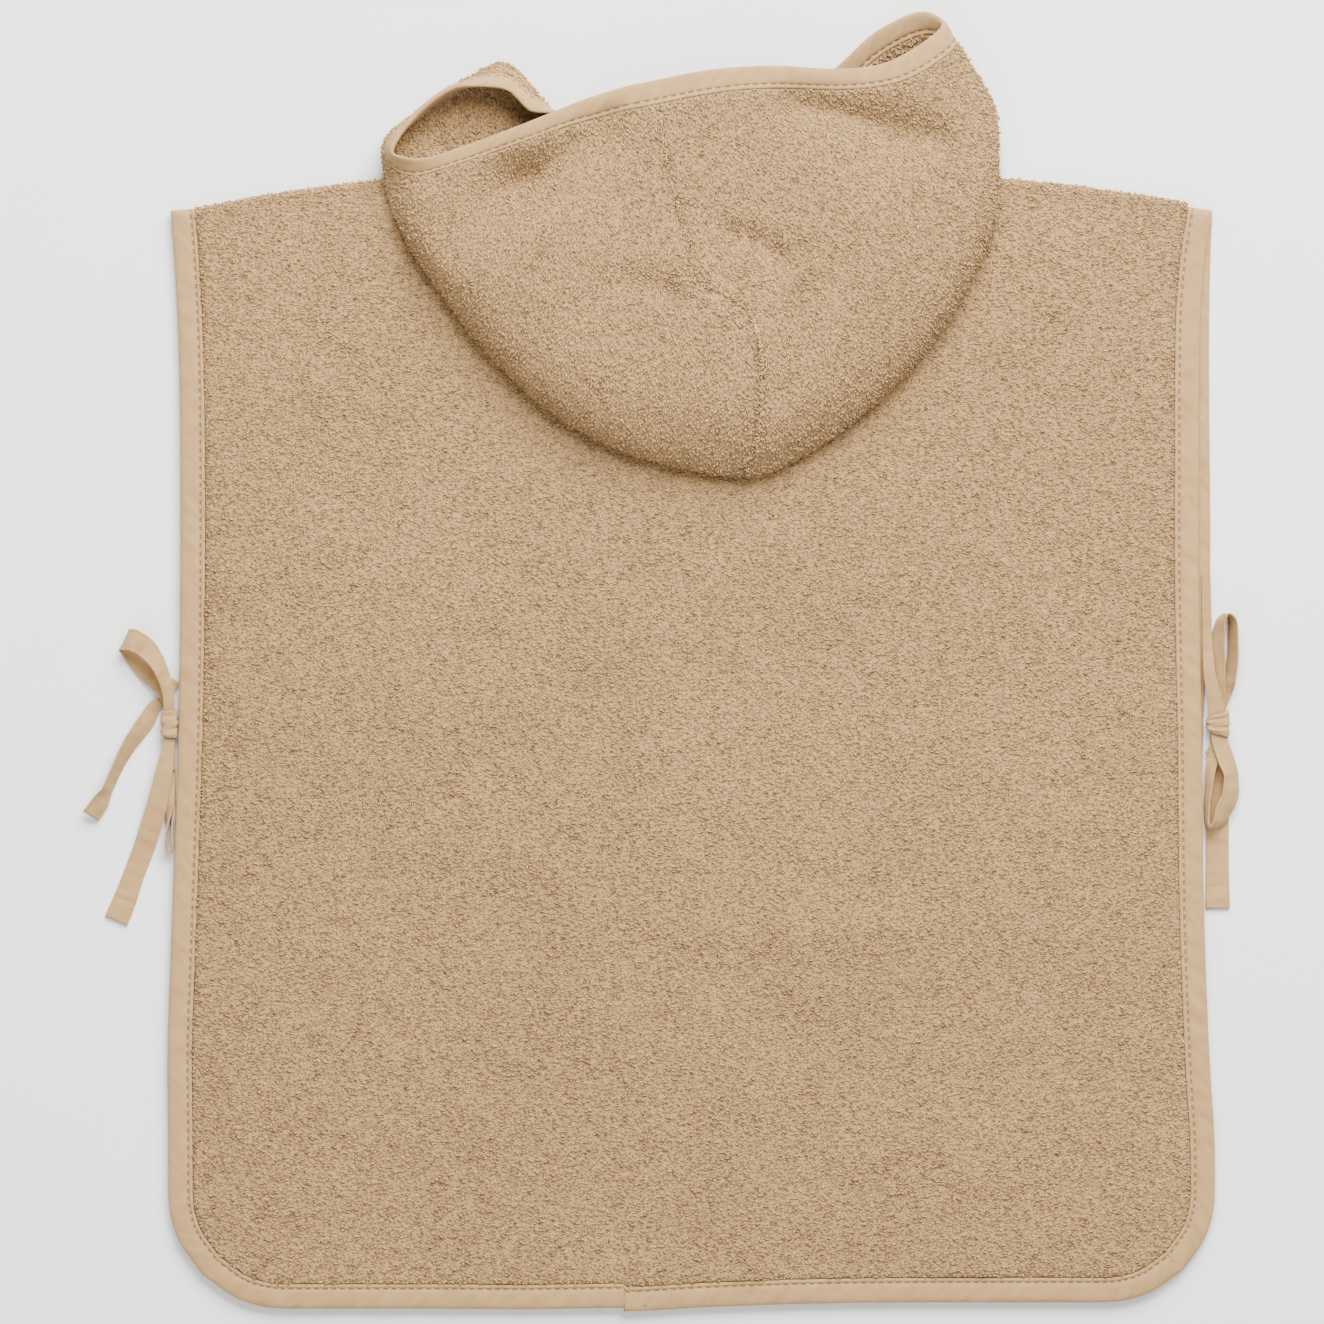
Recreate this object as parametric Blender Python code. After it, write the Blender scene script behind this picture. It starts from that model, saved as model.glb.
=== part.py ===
"""Hooded bath poncho for a toddler, laid flat on its front with the hood thrown back.

The origin is at the middle of the footprint, on the surface that the poncho lies on.
+Y points from the hem to the hood and +Z up. Every piece of cloth is a wall between
two grids of points. Sizes are in millimetres and become metres in the meshes.
"""
import math

import bmesh
import bpy
import numpy as np

COLLECTION = "hooded_bath_poncho"
MM = 0.001
GAP = 0.3                    # clearance left at every seam

# ---- cloth -------------------------------------------------------------------------
TERRY = 3.2                  # terry with its loops
TAPE_WALL = 1.0              # one side of the folded bias tape
TAPE_WIDTH = 12.5            # bias tape from its stitched edge to its fold
# where full terry ends and the tape's edge begins, from the tape's fold
TERRY_LIP, TAPE_LIP = TAPE_WIDTH + GAP / 2, TAPE_WIDTH - GAP / 2
PRESSED = 0.5                # terry pressed inside the tape
TUCKED = 7.5                 # how far from the tape's fold the pressed terry ends
# round of the tape's fold: distance from the fold, share of the wall's half thickness
FOLD_OUTSIDE = ((1.6, 1.0), (0.45, 0.7), (0.0, 0.0))
FOLD_INSIDE = ((1.9, 1.0), (1.25, 0.7), (TAPE_WALL, 0.0))
LEAST_SQUASH = 0.3           # share of its thickness that the tape keeps at the shoulder
TIE_WALL = 1.0               # folded and stitched tie tape

# ---- body --------------------------------------------------------------------------
FRONT_BASE = 0.0
BACK_BASE = FRONT_BASE + TERRY + GAP
SHOULDER_ROUND = TERRY       # outer radius of the fold over the shoulder seam
NECK_X = (-108.0, 142.0)     # neck points
NECK_Y = 243.0
SHOULDER_FALL = (15.5, 13.5)     # drop of each shoulder line from neck to tape
SHOULDER_LENGTH = (121.0, 120.0)
SHOULDER_CURVE = 1.5         # 1 is a straight shoulder line, more falls later
BACK_SCOOP = 8.0
FRONT_SCOOP = 30.0
CORNER_RADIUS = (58.0, 55.0)     # hem corners, left and right
ACROSS = 19                  # grid lines from side to side of a panel
DOWN = 20                    # grid lines from shoulder to hem
TOP_ROWS = (0.0, 1.2, 3.4, 4.6)  # first grid lines, measured down the tape from its end

# sides of a panel with its tape: height on the garment, left edge, right edge
BACK_SIDES = [(225.5, -245.5, 275.0), (200, -243.5, 271.0), (150, -241.2, 268.4), (60, -240.5, 268.2),
              (-30, -241.5, 269.6), (-140, -245.2, 271.2), (-200, -247.0, 273.6), (-250, -246.6, 276.2)]
FRONT_SIDES = [(225.5, -244.5, 275.0), (200, -242.2, 274.0), (150, -239.6, 273.4), (60, -239.0, 274.0),
               (-30, -240.0, 270.6), (-140, -243.8, 269.6), (-200, -245.5, 272.0), (-250, -245.0, 274.6)]
# hem of a panel with its tape: across, height
BACK_HEM = [(-120, -323.0), (-19, -324.4), (20, -322.4), (90, -320.2), (160, -319.8)]
FRONT_HEM = [(-120, -321.5), (-19, -322.0), (20, -320.6), (90, -318.6), (160, -318.2)]

# soft folds of the back panel: ends of the crest, half width, height
BACK_FOLDS = [
    {"start": (-172, 140), "end": (-213, 38), "reach": 17, "rise": 2.6},
    {"start": (-213, 38), "end": (-211, -30), "reach": 15, "rise": 1.2},
    {"start": (-150, 222), "end": (-164, 165), "reach": 14, "rise": 2.2},
    {"start": (200, 205), "end": (186, 160), "reach": 15, "rise": 2.0},
    {"start": (20, -134), "end": (119, -132), "reach": 16, "rise": 1.2},
    {"start": (-130, -92), "end": (-60, -96), "reach": 18, "rise": 1.0},
    {"start": (189, -79), "end": (245, -76), "reach": 15, "rise": 1.0},
    {"start": (-205, -226), "end": (-120, -232), "reach": 18, "rise": 1.0},
    {"start": (120, -238), "end": (205, -222), "reach": 20, "rise": 1.1},
]

# ---- hood --------------------------------------------------------------------------
HOOD_LEVEL = BACK_BASE + TERRY + GAP + TERRY / 2     # middle of the layer on the back
FLOOR_LEVEL = TERRY / 2 + 0.05                       # middle of the layer on the floor
FOLD_INSET = 7.0             # how far from the fold the two layers part
INSET_SHARE = 0.4            # most of the lower layer's own length that the inset takes
# the same above the fold, by the height of the face edge
OVER_SHARE = {"face edge": (21.0, 23.0, 25.0, 27.0), "share": (0.15, 0.4, 0.4, 0.15)}
TAPE_ROOM = 1.1              # widths of tape that a wall needs before it can arch
CROWN_AT = 0.4               # place of the crown between the fold and the face edge
HALF_ROWS = 27               # grid rows of each half from its front to the centre seam
# grid lines from the neck seam (0) over the fold (3) and the crown (5) to the tape (7)
OVER_LINE, FACE_LINE = 4, 8   # line above the fold where the upper layer starts, and the face edge
HOOD_LINES = (0, 1, 2, 2.5, 3, 3.5, 4, 4.25, 4.5, 4.75, 5, 5.33, 5.67, 6, 6.33, 6.67)
# more grid lines at these distances from the face edge, shared by terry and tape
FACE_LINES = (TERRY_LIP, TAPE_WIDTH, TAPE_LIP, TUCKED,
              *sorted({away for away, _ in FOLD_OUTSIDE + FOLD_INSIDE}, reverse=True))
TAPE_COLUMN = {away: len(HOOD_LINES) + place for place, away in enumerate(FACE_LINES)}
HOOD_COLUMNS = ("neck_x", "neck_y", "level", "fold_x", "fold_y", "fold_top", "crown",
                "edge_x", "edge_y", "edge_z")
# one row for each line of the hood from its neck seam, over the fold, to its face edge
LEFT_HOOD = [
    (16.85, 214.0, FLOOR_LEVEL, 16.85, 226.0, FLOOR_LEVEL, FLOOR_LEVEL, 16.85, 246.0, FLOOR_LEVEL),
    (-10, 216.0, FLOOR_LEVEL, -12, 238.0, FLOOR_LEVEL, 2.0, -14, 259.0, 3.8),
    (-32, 219.2, FLOOR_LEVEL, -36, 255.0, 4.4, 7.0, -38, 269.5, 13.5),
    (-48, 222.8, FLOOR_LEVEL, -53, 270.5, 5.6, 8.0, -52, 273.5, 20.5),
    (-62, 227.0, FLOOR_LEVEL, -66, 286.5, 8.2, 10.4, -64, 274.0, 21.0),
    (-78, 232.4, FLOOR_LEVEL, -80, 298.3, 8.4, 10.5, -78, 285.4, 22.0),
    (-94, 239.2, FLOOR_LEVEL, -98, 291.5, 8.4, 10.5, -98.0, 281.6, 23.0),
    (-103, 248.5, 2.5, -121.5, 275.5, 8.8, 11.0, -118.0, 270.0, 25.0),
    (-109, 251.5, 7.4, -138.5, 256.0, 12.6, 15.0, -134.5, 253.8, 29.0),
    (-105, 245.6, HOOD_LEVEL, -135.6, 235.5, 15.0, 21.0, -121, 250.3, 29.0),
    (-92, 241.0, HOOD_LEVEL, -127, 213.0, 22.0, 27.0, -100, 256.3, 28.0),
    (-68, 238.7, HOOD_LEVEL, -110, 187.0, 24.0, 31.0, -68, 268.0, 29.0),
    (-42, 236.8, HOOD_LEVEL, -84, 153.5, 24.0, 33.0, -42, 278.5, 29.5),
    (-14, 235.4, HOOD_LEVEL, -38, 115.5, 23.0, 34.0, -20, 285.6, 30.0),
    (17, 235.0, HOOD_LEVEL, 43, 94.0, 19.0, 35.0, -3, 289.3, 30.0),
]
RIGHT_HOOD = [
    (17, 235.0, HOOD_LEVEL, 43, 94.0, 19.0, 35.0, -3, 289.3, 30.0),
    (32, 235.2, HOOD_LEVEL, 68, 103.5, 20.5, 34.5, 16, 293.2, 29.5),
    (52, 235.6, HOOD_LEVEL, 97, 123.0, 22.0, 33.0, 32, 295.4, 29.0),
    (78, 237.0, HOOD_LEVEL, 129, 154.0, 24.0, 32.0, 57, 296.6, 27.5),
    (104, 239.0, HOOD_LEVEL, 152, 190.0, 24.0, 30.0, 84, 295.2, 26.0),
    (126, 241.5, HOOD_LEVEL, 165.5, 226.0, 22.0, 27.0, 107, 297.0, 25.5),
    (139, 246.5, 9.8, 166.5, 254.0, 19.0, 23.0, 124, 304.5, 25.0),
    (144, 251.0, 5.8, 161.0, 284.0, 13.0, 17.0, 139.5, 318.0, 22.0),
    (138, 248.0, 2.8, 138.0, 298.0, 6.0, 9.0, 129.5, 324.2, 18.0),
    (124, 239.0, FLOOR_LEVEL, 112.0, 290.0, 4.0, 6.0, 106, 314.0, 13.0),
    (106, 231.0, FLOOR_LEVEL, 94.0, 276.0, 3.2, 4.5, 90, 299.5, 9.0),
    (75, 222.0, FLOOR_LEVEL, 66.0, 254.0, 2.2, 2.8, 61, 276.0, 5.0),
    (44, 216.6, FLOOR_LEVEL, 40.0, 232.0, FLOOR_LEVEL, 2.0, 37, 255.0, 3.0),
    (17.15, 214.0, FLOOR_LEVEL, 17.15, 226.0, FLOOR_LEVEL, FLOOR_LEVEL, 17.15, 246.0, FLOOR_LEVEL),
]
# where the centre seam runs on the hood's upper side, from the fold to the face edge
SEAM_COURSE = [(43, 94), (46, 101), (49, 116), (50, 146), (47, 166), (43, 175), (33, 182), (20, 188),
               (16.5, 195), (12.5, 211), (5, 237), (1.5, 254.5), (-1, 272), (-3, 289.3)]
SEAM_REACH = 42.0            # how far the cloth beside the seam goes sideways with it
LEAST_CROWN = 14.0           # lines of the hood lower than this have no folds of their own
# hollows and ridges of the hood's upper layer, as for the back panel
HOOD_FOLDS = [
    {"start": (60, 279), "end": (138, 255), "reach": 17, "rise": -5.0},
    {"start": (-28, 268), "end": (-106, 206), "reach": 17, "rise": -5.0},
    {"start": (36, 211), "end": (60, 200), "reach": 13, "rise": -3.0},
    {"start": (26, 182), "end": (44, 160), "reach": 12, "rise": 2.6},
    {"start": (71, 184), "end": (57, 134), "reach": 12, "rise": -4.0},
    {"start": (48, 160), "end": (48, 106), "reach": 10, "rise": 2.0},
    {"start": (-14, 116), "end": (28, 106), "reach": 13, "rise": -3.0},
]

# ---- ties --------------------------------------------------------------------------
# Each row is a place on the tie's middle line, its width there, and the direction of
# its width: heading from +X in the plane of the floor and rise above it, in degrees.
LEFT_BACK_TIE = [
    (-244.5, -54.5, 4.6, 4.4, 48, 0), (-246.0, -51.6, 4.4, 4.4, 28, 0),
    (-246.2, -45.0, 4.3, 4.8, 4, 0), (-246.1, -31.0, 4.3, 5.2, 0, 0),
    (-246.2, -23.4, 4.3, 5.2, 4, 0), (-251.4, -11.6, 3.6, 8.0, 44, 0),
    (-257.3, -5.0, 2.0, 9.6, 51, 0), (-262.2, 1.4, 1.6, 10.6, 55, 0),
    (-266.0, 7.6, 1.6, 11.2, 62, 0), (-268.2, 10.6, 4.6, 11.6, 66, 0),
    (-265.4, 11.2, 8.4, 11.4, 60, 0), (-259.8, 8.6, 9.4, 10.8, 50, 0),
    (-253.8, 2.6, 9.2, 9.6, 40, -26), (-249.4, -5.6, 8.6, 9.0, 30, -44),
    (-246.6, -15.5, 7.2, 6.4, 14, -24), (-246.1, -31.0, 5.7, 5.2, 0, 0),
    (-246.2, -41.0, 5.9, 5.8, -4, 0), (-248.4, -53.3, 6.2, 8.4, -9, -6),
    (-251.2, -67.0, 5.4, 9.8, -14, -4), (-255.3, -81.5, 3.6, 10.5, -17, 0),
    (-260.0, -95.8, 1.6, 10.5, -19, 0), (-264.3, -107.0, 1.1, 10.5, -21, 0),
    (-268.4, -118.6, 1.1, 11.6, -23, 0), (-272.9, -129.4, 1.1, 12.2, -25, 0),
]
LEFT_FRONT_TIE = [
    (-242.7, -9.6, 1.9, 4.6, -70, 0), (-245.0, -12.4, 2.3, 4.6, -40, 0),
    (-246.1, -18.5, 3.0, 4.8, -6, 0), (-246.1, -31.0, 3.1, 5.2, 0, 0),
    (-245.9, -44.0, 3.1, 5.0, 0, 0), (-245.7, -60.0, 3.3, 4.8, 0, 4),
    (-246.6, -74.0, 4.2, 6.0, 0, 50), (-247.5, -84.0, 4.3, 6.8, 0, 88),
    (-247.9, -92.4, 4.3, 6.8, 0, 90), (-246.2, -95.4, 4.3, 6.8, 0, 90),
    (-244.5, -92.4, 4.3, 6.8, 0, 90), (-244.8, -84.0, 4.1, 6.6, 0, 88),
    (-245.3, -74.0, 2.5, 5.4, 0, 50), (-245.6, -60.0, 1.8, 4.8, 0, 4),
    (-245.9, -44.0, 1.8, 5.0, 0, 0), (-246.1, -31.0, 1.8, 5.2, 0, 0),
    (-246.6, -23.0, 1.8, 4.4, 8, 0), (-249.0, -19.6, 1.6, 4.4, 62, 0),
    (-252.9, -21.8, 2.0, 6.2, 116, 6), (-258.0, -30.0, 3.0, 9.0, 134, 24),
    (-264.2, -38.6, 4.0, 9.6, 142, 40), (-269.6, -47.6, 4.6, 9.4, 148, 52),
    (-273.8, -56.4, 4.8, 9.2, 152, 58), (-277.2, -64.0, 4.8, 8.8, 152, 56),
    (-280.0, -69.0, 4.6, 9.6, 148, 34), (-285.4, -77.0, 4.2, 10.2, 146, 28),
]
RIGHT_BACK_TIE = [
    (272.2, -46.4, 3.2, 4.0, -60, 0), (275.0, -44.0, 3.2, 4.4, -36, 0),
    (277.2, -38.6, 3.1, 6.0, -6, 0), (277.6, -31.0, 3.1, 7.8, 0, 0),
    (277.6, -21.0, 3.2, 8.2, 0, 2), (277.2, -8.0, 4.8, 9.6, 0, 28),
    (277.2, 6.0, 5.7, 10.6, 0, 46), (278.4, 16.0, 5.9, 11.0, 0, 60),
    (279.8, 21.6, 6.0, 11.0, 0, 70), (282.2, 23.8, 6.0, 11.0, 0, 74),
    (284.4, 21.6, 6.0, 11.0, 0, 70), (285.2, 16.0, 6.0, 11.0, 0, 66),
    (285.2, 5.0, 5.8, 10.6, 0, 62), (283.6, -7.0, 4.6, 9.2, 0, 48),
    (280.8, -15.6, 2.2, 7.8, 0, 12), (277.9, -23.8, 1.8, 7.4, 0, 0),
    (277.6, -40.0, 1.8, 7.6, 0, 0), (277.6, -60.0, 1.1, 11.0, 0, 0),
    (277.6, -80.0, 1.1, 11.4, 0, 0), (277.6, -100.0, 1.1, 11.4, 0, 0),
    (277.8, -123.2, 1.1, 12.2, 0, 0),
]
RIGHT_FRONT_TIE = [
    (271.8, 44.0, 4.2, 4.4, 0, 0), (272.1, 24.0, 4.3, 4.6, 0, 0),
    (272.6, 8.0, 4.9, 5.0, 0, 0), (273.4, -6.0, 7.6, 6.0, 0, 0),
    (276.2, -20.0, 7.0, 7.4, 0, 0), (277.6, -31.0, 5.7, 7.8, 0, 0),
    (278.6, -39.5, 6.1, 8.0, 2, -4), (281.6, -48.5, 6.8, 8.8, -4, -16),
    (284.2, -57.5, 7.2, 9.6, -16, -38), (283.9, -65.6, 7.4, 10.4, -40, -32),
    (280.4, -74.0, 7.4, 10.4, -54, -34), (276.9, -81.2, 7.0, 9.0, -78, -56),
    (273.6, -83.4, 6.4, 7.2, -112, -72), (272.0, -79.0, 6.0, 6.8, -150, -72),
    (272.1, -71.0, 5.8, 6.6, -172, -68), (273.0, -63.0, 5.6, 6.4, -180, -60),
    (274.0, -54.0, 5.2, 5.8, -180, -34), (275.8, -46.0, 4.8, 5.6, -180, -8),
    (277.0, -39.5, 4.5, 5.8, -180, 0), (277.6, -31.0, 4.4, 6.8, -180, 0),
    (277.6, -27.0, 4.5, 6.8, -180, 0),
]
TIES = {"tie_left_back": LEFT_BACK_TIE, "tie_left_front": LEFT_FRONT_TIE,
        "tie_right_back": RIGHT_BACK_TIE, "tie_right_front": RIGHT_FRONT_TIE}
TIE_STATIONS = 46
# knots: middle, half width of the bundle inside, length along the bundle
KNOTS = {"left": {"centre": (-246.1, -31.0), "inside": 3.2, "length": 15.0},
         "right": {"centre": (277.6, -31.0), "inside": 4.8, "length": 12.0}}
KNOT_FLOOR = 0.1             # lowest point of a knot
KNOT_HEIGHT = 8.4
KNOT_TURN = 20               # points round a knot
KNOT_SQUARENESS = 0.4        # 1 is an ellipse, less is nearer to a box
KNOT_EDGE = 0.7              # share of its wall that a knot keeps at its two edges

# ---- colours -----------------------------------------------------------------------
FINISHES = {"terry": {"colour": (0.52, 0.37, 0.24), "roughness": 0.95},
            "tape": {"colour": (0.59, 0.45, 0.33), "roughness": 0.8}}


# ---- points ------------------------------------------------------------------------
def knots_of(rows, axes=None):
    """Place of each row along the polyline through the rows, from 0 to its length."""
    steps = np.linalg.norm(np.diff(np.array(rows, float)[:, :axes], axis=0), axis=1)
    return np.concatenate(([0.0], np.cumsum(steps)))


def curve(rows, places, axes=None):
    """Smooth curve through rows, read at places along its length."""
    rows = np.array(rows, float)
    knots = knots_of(rows, axes)
    steps = np.diff(knots)[:, None]
    slopes = np.diff(rows, axis=0) / steps
    inner = (slopes[:-1] * steps[1:] + slopes[1:] * steps[:-1]) / (steps[:-1] + steps[1:])
    # no overshoot: level at a turning point, never far steeper than the gentler side
    least = np.minimum(np.abs(slopes[:-1]), np.abs(slopes[1:]))
    same_way = np.sign(slopes[:-1]) * np.sign(slopes[1:]) > 0
    inner = np.where(same_way, np.sign(inner) * np.minimum(np.abs(inner), 3 * least), 0.0)
    tangents = np.vstack((slopes[:1], inner, slopes[-1:]))
    index = np.clip(np.searchsorted(knots, places, side="right") - 1, 0, len(steps) - 1)
    span = steps[index]
    t = (np.asarray(places) - knots[index])[:, None] / span
    rise, ease = t * t * (3 - 2 * t), t * (1 - t)
    return ((1 - rise) * rows[index] + rise * rows[index + 1]
            + ease * span * ((1 - t) * tangents[index] - t * tangents[index + 1]))


def unit(vectors):
    return vectors / np.linalg.norm(vectors, axis=-1, keepdims=True)


def evened(normals, axis):
    """Normals averaged with their neighbours along one axis of a grid."""
    count = normals.shape[axis]
    before = normals.take([0, *range(count - 1)], axis)
    after = normals.take([*range(1, count), count - 1], axis)
    return unit(before + 2 * normals + after)


def relief(folds, x, y):
    """Height of soft folds, each a rounded ridge along a straight crest."""
    height = 0.0
    for fold in folds:
        (x0, y0), (x1, y1) = fold["start"], fold["end"]
        along = ((x - x0) * (x1 - x0) + (y - y0) * (y1 - y0)) / ((x1 - x0) ** 2 + (y1 - y0) ** 2)
        along = min(max(along, 0.0), 1.0)
        away = math.hypot(x - x0 - along * (x1 - x0), y - y0 - along * (y1 - y0)) / fold["reach"]
        height += fold["rise"] * math.exp(-2 * away ** 2)
    return height


# ---- solids ------------------------------------------------------------------------
def material(finish):
    found = bpy.data.materials.get(finish)
    if found:
        return found
    made = bpy.data.materials.new(finish)
    made.use_nodes = True
    shader = made.node_tree.nodes["Principled BSDF"]
    shader.inputs["Base Color"].default_value = (*FINISHES[finish]["colour"], 1.0)
    shader.inputs["Roughness"].default_value = FINISHES[finish]["roughness"]
    shader.inputs["Metallic"].default_value = 0.0
    return made


def cloth(name, outer, inner, finish, rim=None, ring=False):
    """Closed wall between two grids of points; rim gives points between them at the edge.

    A ring joins its last row to its first, and has an edge along two sides only.
    """
    rows, columns = len(outer), len(outer[0])
    mesh = bmesh.new()

    def vertex(point):
        return mesh.verts.new([float(value) * MM for value in point])

    faces = [[[vertex(point) for point in row] for row in grid] for grid in (outer, inner)]
    for row in range(rows if ring else rows - 1):
        below = (row + 1) % rows
        for column in range(columns - 1):
            for grid in faces:
                mesh.faces.new((grid[row][column], grid[row][column + 1],
                                grid[below][column + 1], grid[below][column]))
    if ring:
        edges = [[(row, column) for row in range(rows)] for column in (0, columns - 1)]
    else:
        edges = [[(0, column) for column in range(columns - 1)]
                 + [(row, columns - 1) for row in range(rows - 1)]
                 + [(rows - 1, column) for column in range(columns - 1, 0, -1)]
                 + [(row, 0) for row in range(rows - 1, 0, -1)]]
    for edge in edges:
        chains = []
        for row, column in edge:
            between = [vertex(point) for point in rim(row, column)] if rim else []
            chains.append([faces[0][row][column], *between, faces[1][row][column]])
        for here, there in zip(chains, chains[1:] + chains[:1]):
            for step in range(len(here) - 1):
                mesh.faces.new((here[step], here[step + 1], there[step + 1], there[step]))
    bmesh.ops.recalc_face_normals(mesh, faces=mesh.faces)
    data = bpy.data.meshes.new(name)
    mesh.to_mesh(data)
    mesh.free()
    data.materials.append(material(finish))
    data.shade_smooth()
    data.set_sharp_from_angle(angle=math.radians(50))
    bpy.data.collections[COLLECTION].objects.link(bpy.data.objects.new(name, data))


# ---- body --------------------------------------------------------------------------
def top_line(x, scoop):
    """Height of a panel's top edge at x: shoulder folds with the neckline between them."""
    for side, sign in ((0, -1), (1, 1)):
        away = sign * (x - NECK_X[side])
        if away > 0:
            return NECK_Y - SHOULDER_FALL[side] * (away / SHOULDER_LENGTH[side]) ** SHOULDER_CURVE
    middle, half = sum(NECK_X) / 2, (NECK_X[1] - NECK_X[0]) / 2
    return NECK_Y - scoop * (1 - ((x - middle) / half) ** 2)


def hem_corner(side_x, hem_y, radius, sign):
    """Arc from the side to the hem; sign is 1 for the left corner, -1 for the right."""
    turns = np.radians((0, 22.5, 45, 67.5, 90))
    return [(side_x + sign * radius * (1 - math.cos(turn)), hem_y + radius * (1 - math.sin(turn)))
            for turn in turns]


def outline(sides, hem):
    """Outer edge of the tape: down the left side, along the hem and up the right side."""
    left = [(x, y) for y, x, _ in sides]
    right = [(x, y) for y, _, x in reversed(sides)]
    left_arc = hem_corner(left[-1][0], hem[0][1], CORNER_RADIUS[0], 1)
    right_arc = hem_corner(right[0][0], hem[-1][1], CORNER_RADIUS[1], -1)[::-1]
    down = left + left_arc[:3]
    along = left_arc[2:] + list(hem) + right_arc[:3]
    up = right_arc[2:] + right
    runs = []
    for points, fixed in ((down, TOP_ROWS), (along, None), (up[::-1], TOP_ROWS)):
        knots = knots_of(points)
        order = range(len(points))
        if fixed:
            start = np.interp(fixed[-1], knots, order)
            steps = np.linspace(start, len(points) - 1, DOWN - len(fixed) + 1)
            places = [*fixed[:-1], *np.interp(steps, order, knots)]
        else:
            places = np.interp(np.linspace(0, len(points) - 1, ACROSS), order, knots)
        runs.append(curve(points, places))
    return np.vstack((runs[0], runs[1][1:], runs[2][-2::-1]))


def inward(path, distance):
    """Path moved to its left, which is into the panel."""
    run = unit(np.gradient(path, axis=0))
    return path + distance * np.column_stack((-run[:, 1], run[:, 0]))


def station(row, column):
    """Place along the outline of a grid point on a panel's sides or hem."""
    if row == DOWN - 1:
        return DOWN - 1 + column
    return row if column == 0 else 2 * DOWN + ACROSS - 3 - row


def panel_grid(edge, scoop):
    """Grid of a panel, blended from its four edges; rows run from shoulder to hem."""
    left = edge[:DOWN].copy()
    hem = edge[DOWN - 1:DOWN + ACROSS - 1]
    right = edge[DOWN + ACROSS - 2:][::-1].copy()
    top = np.array([(x, top_line(x, scoop) - SHOULDER_ROUND)
                    for x in np.linspace(left[0][0], right[0][0], ACROSS)])
    for side, corner in ((left, top[0]), (right, top[-1])):
        last = len(TOP_ROWS) - 1
        side[:last] = corner + np.arange(last)[:, None] / last * (side[last] - corner)
    fall = knots_of(left)
    v = (fall / fall[-1])[:, None, None]
    u = np.linspace(0, 1, ACROSS)[None, :, None]
    return ((1 - u) * left[:, None] + u * right[:, None] + (1 - v) * top[None] + v * hem[None]
            - (1 - u) * ((1 - v) * top[0] + v * hem[0]) - u * ((1 - v) * top[-1] + v * hem[-1]))


def panel(name, path, scoop, base, folds, on_top):
    """Terry panel whose edge, pressed thin, runs into the tape on its sides and hem."""
    grid = panel_grid(inward(path, TERRY_LIP), scoop)
    pressed_edge = inward(path, TUCKED)
    middle, half = base + TERRY / 2, PRESSED / 2

    def rim(row, column):
        x, y = grid[row, column]
        lift = relief(folds, x, y)
        if row == 0:
            turns = np.radians((0, 25, 47, 68))
            out, up = SHOULDER_ROUND * np.cos(turns), TERRY * np.sin(turns)
            if on_top:
                return [(x, y + out[step], base + lift + up[step]) for step in (3, 2, 1, 0)]
            return [(x, y + out[step], base + TERRY - up[step]) for step in (0, 1, 2, 3)]
        if row < len(TOP_ROWS) - 1:
            far_x, far_y = x + (-GAP / 2 if column == 0 else GAP / 2), y
        else:
            far_x, far_y = pressed_edge[station(row, column)]
        return [(x, y, middle + lift + half), (far_x, far_y, middle + lift + half),
                (far_x, far_y, middle + lift - half), (x, y, middle + lift - half)]

    layers = [[[(x, y, base + height + relief(folds, x, y)) for x, y in row] for row in grid]
              for height in (TERRY, 0.0)]
    cloth(name, layers[0], layers[1], "terry", rim)


def tape_profile():
    """Folded tape across its width: distance from its fold, height over its middle."""
    half, hollow = TERRY / 2, TERRY / 2 - TAPE_WALL
    sides = []
    for thick, fold in ((half, FOLD_OUTSIDE), (hollow, FOLD_INSIDE)):
        side = [(TAPE_LIP, thick), (TUCKED, thick), *((away, share * thick) for away, share in fold)]
        sides.append(side + [(away, -height) for away, height in reversed(side[:-1])])
    return sides


def body_tape(name, path, base, folds, on_top):
    """Tape folded over the sides and hem of a panel, rounded where it meets the shoulder."""
    layers = []
    for profile in tape_profile():
        paths = {away: inward(path, away) for away, _ in profile}
        rows = []
        for place in range(len(path)):
            from_end = min(place, len(path) - 1 - place)
            below = TOP_ROWS[from_end] / SHOULDER_ROUND if from_end < len(TOP_ROWS) else 1.0
            squash = max(LEAST_SQUASH, math.sqrt(1 - (1 - min(below, 1.0)) ** 2))
            lift = relief(folds, *paths[TAPE_LIP][place])
            row = []
            for away, height in profile:
                rise = TERRY / 2 + height
                rise = rise * squash if on_top else TERRY - (TERRY - rise) * squash
                row.append((*paths[away][place], base + rise + lift))
            rows.append(row)
        layers.append(rows)
    cloth(name, layers[0], layers[1], "tape")


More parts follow.
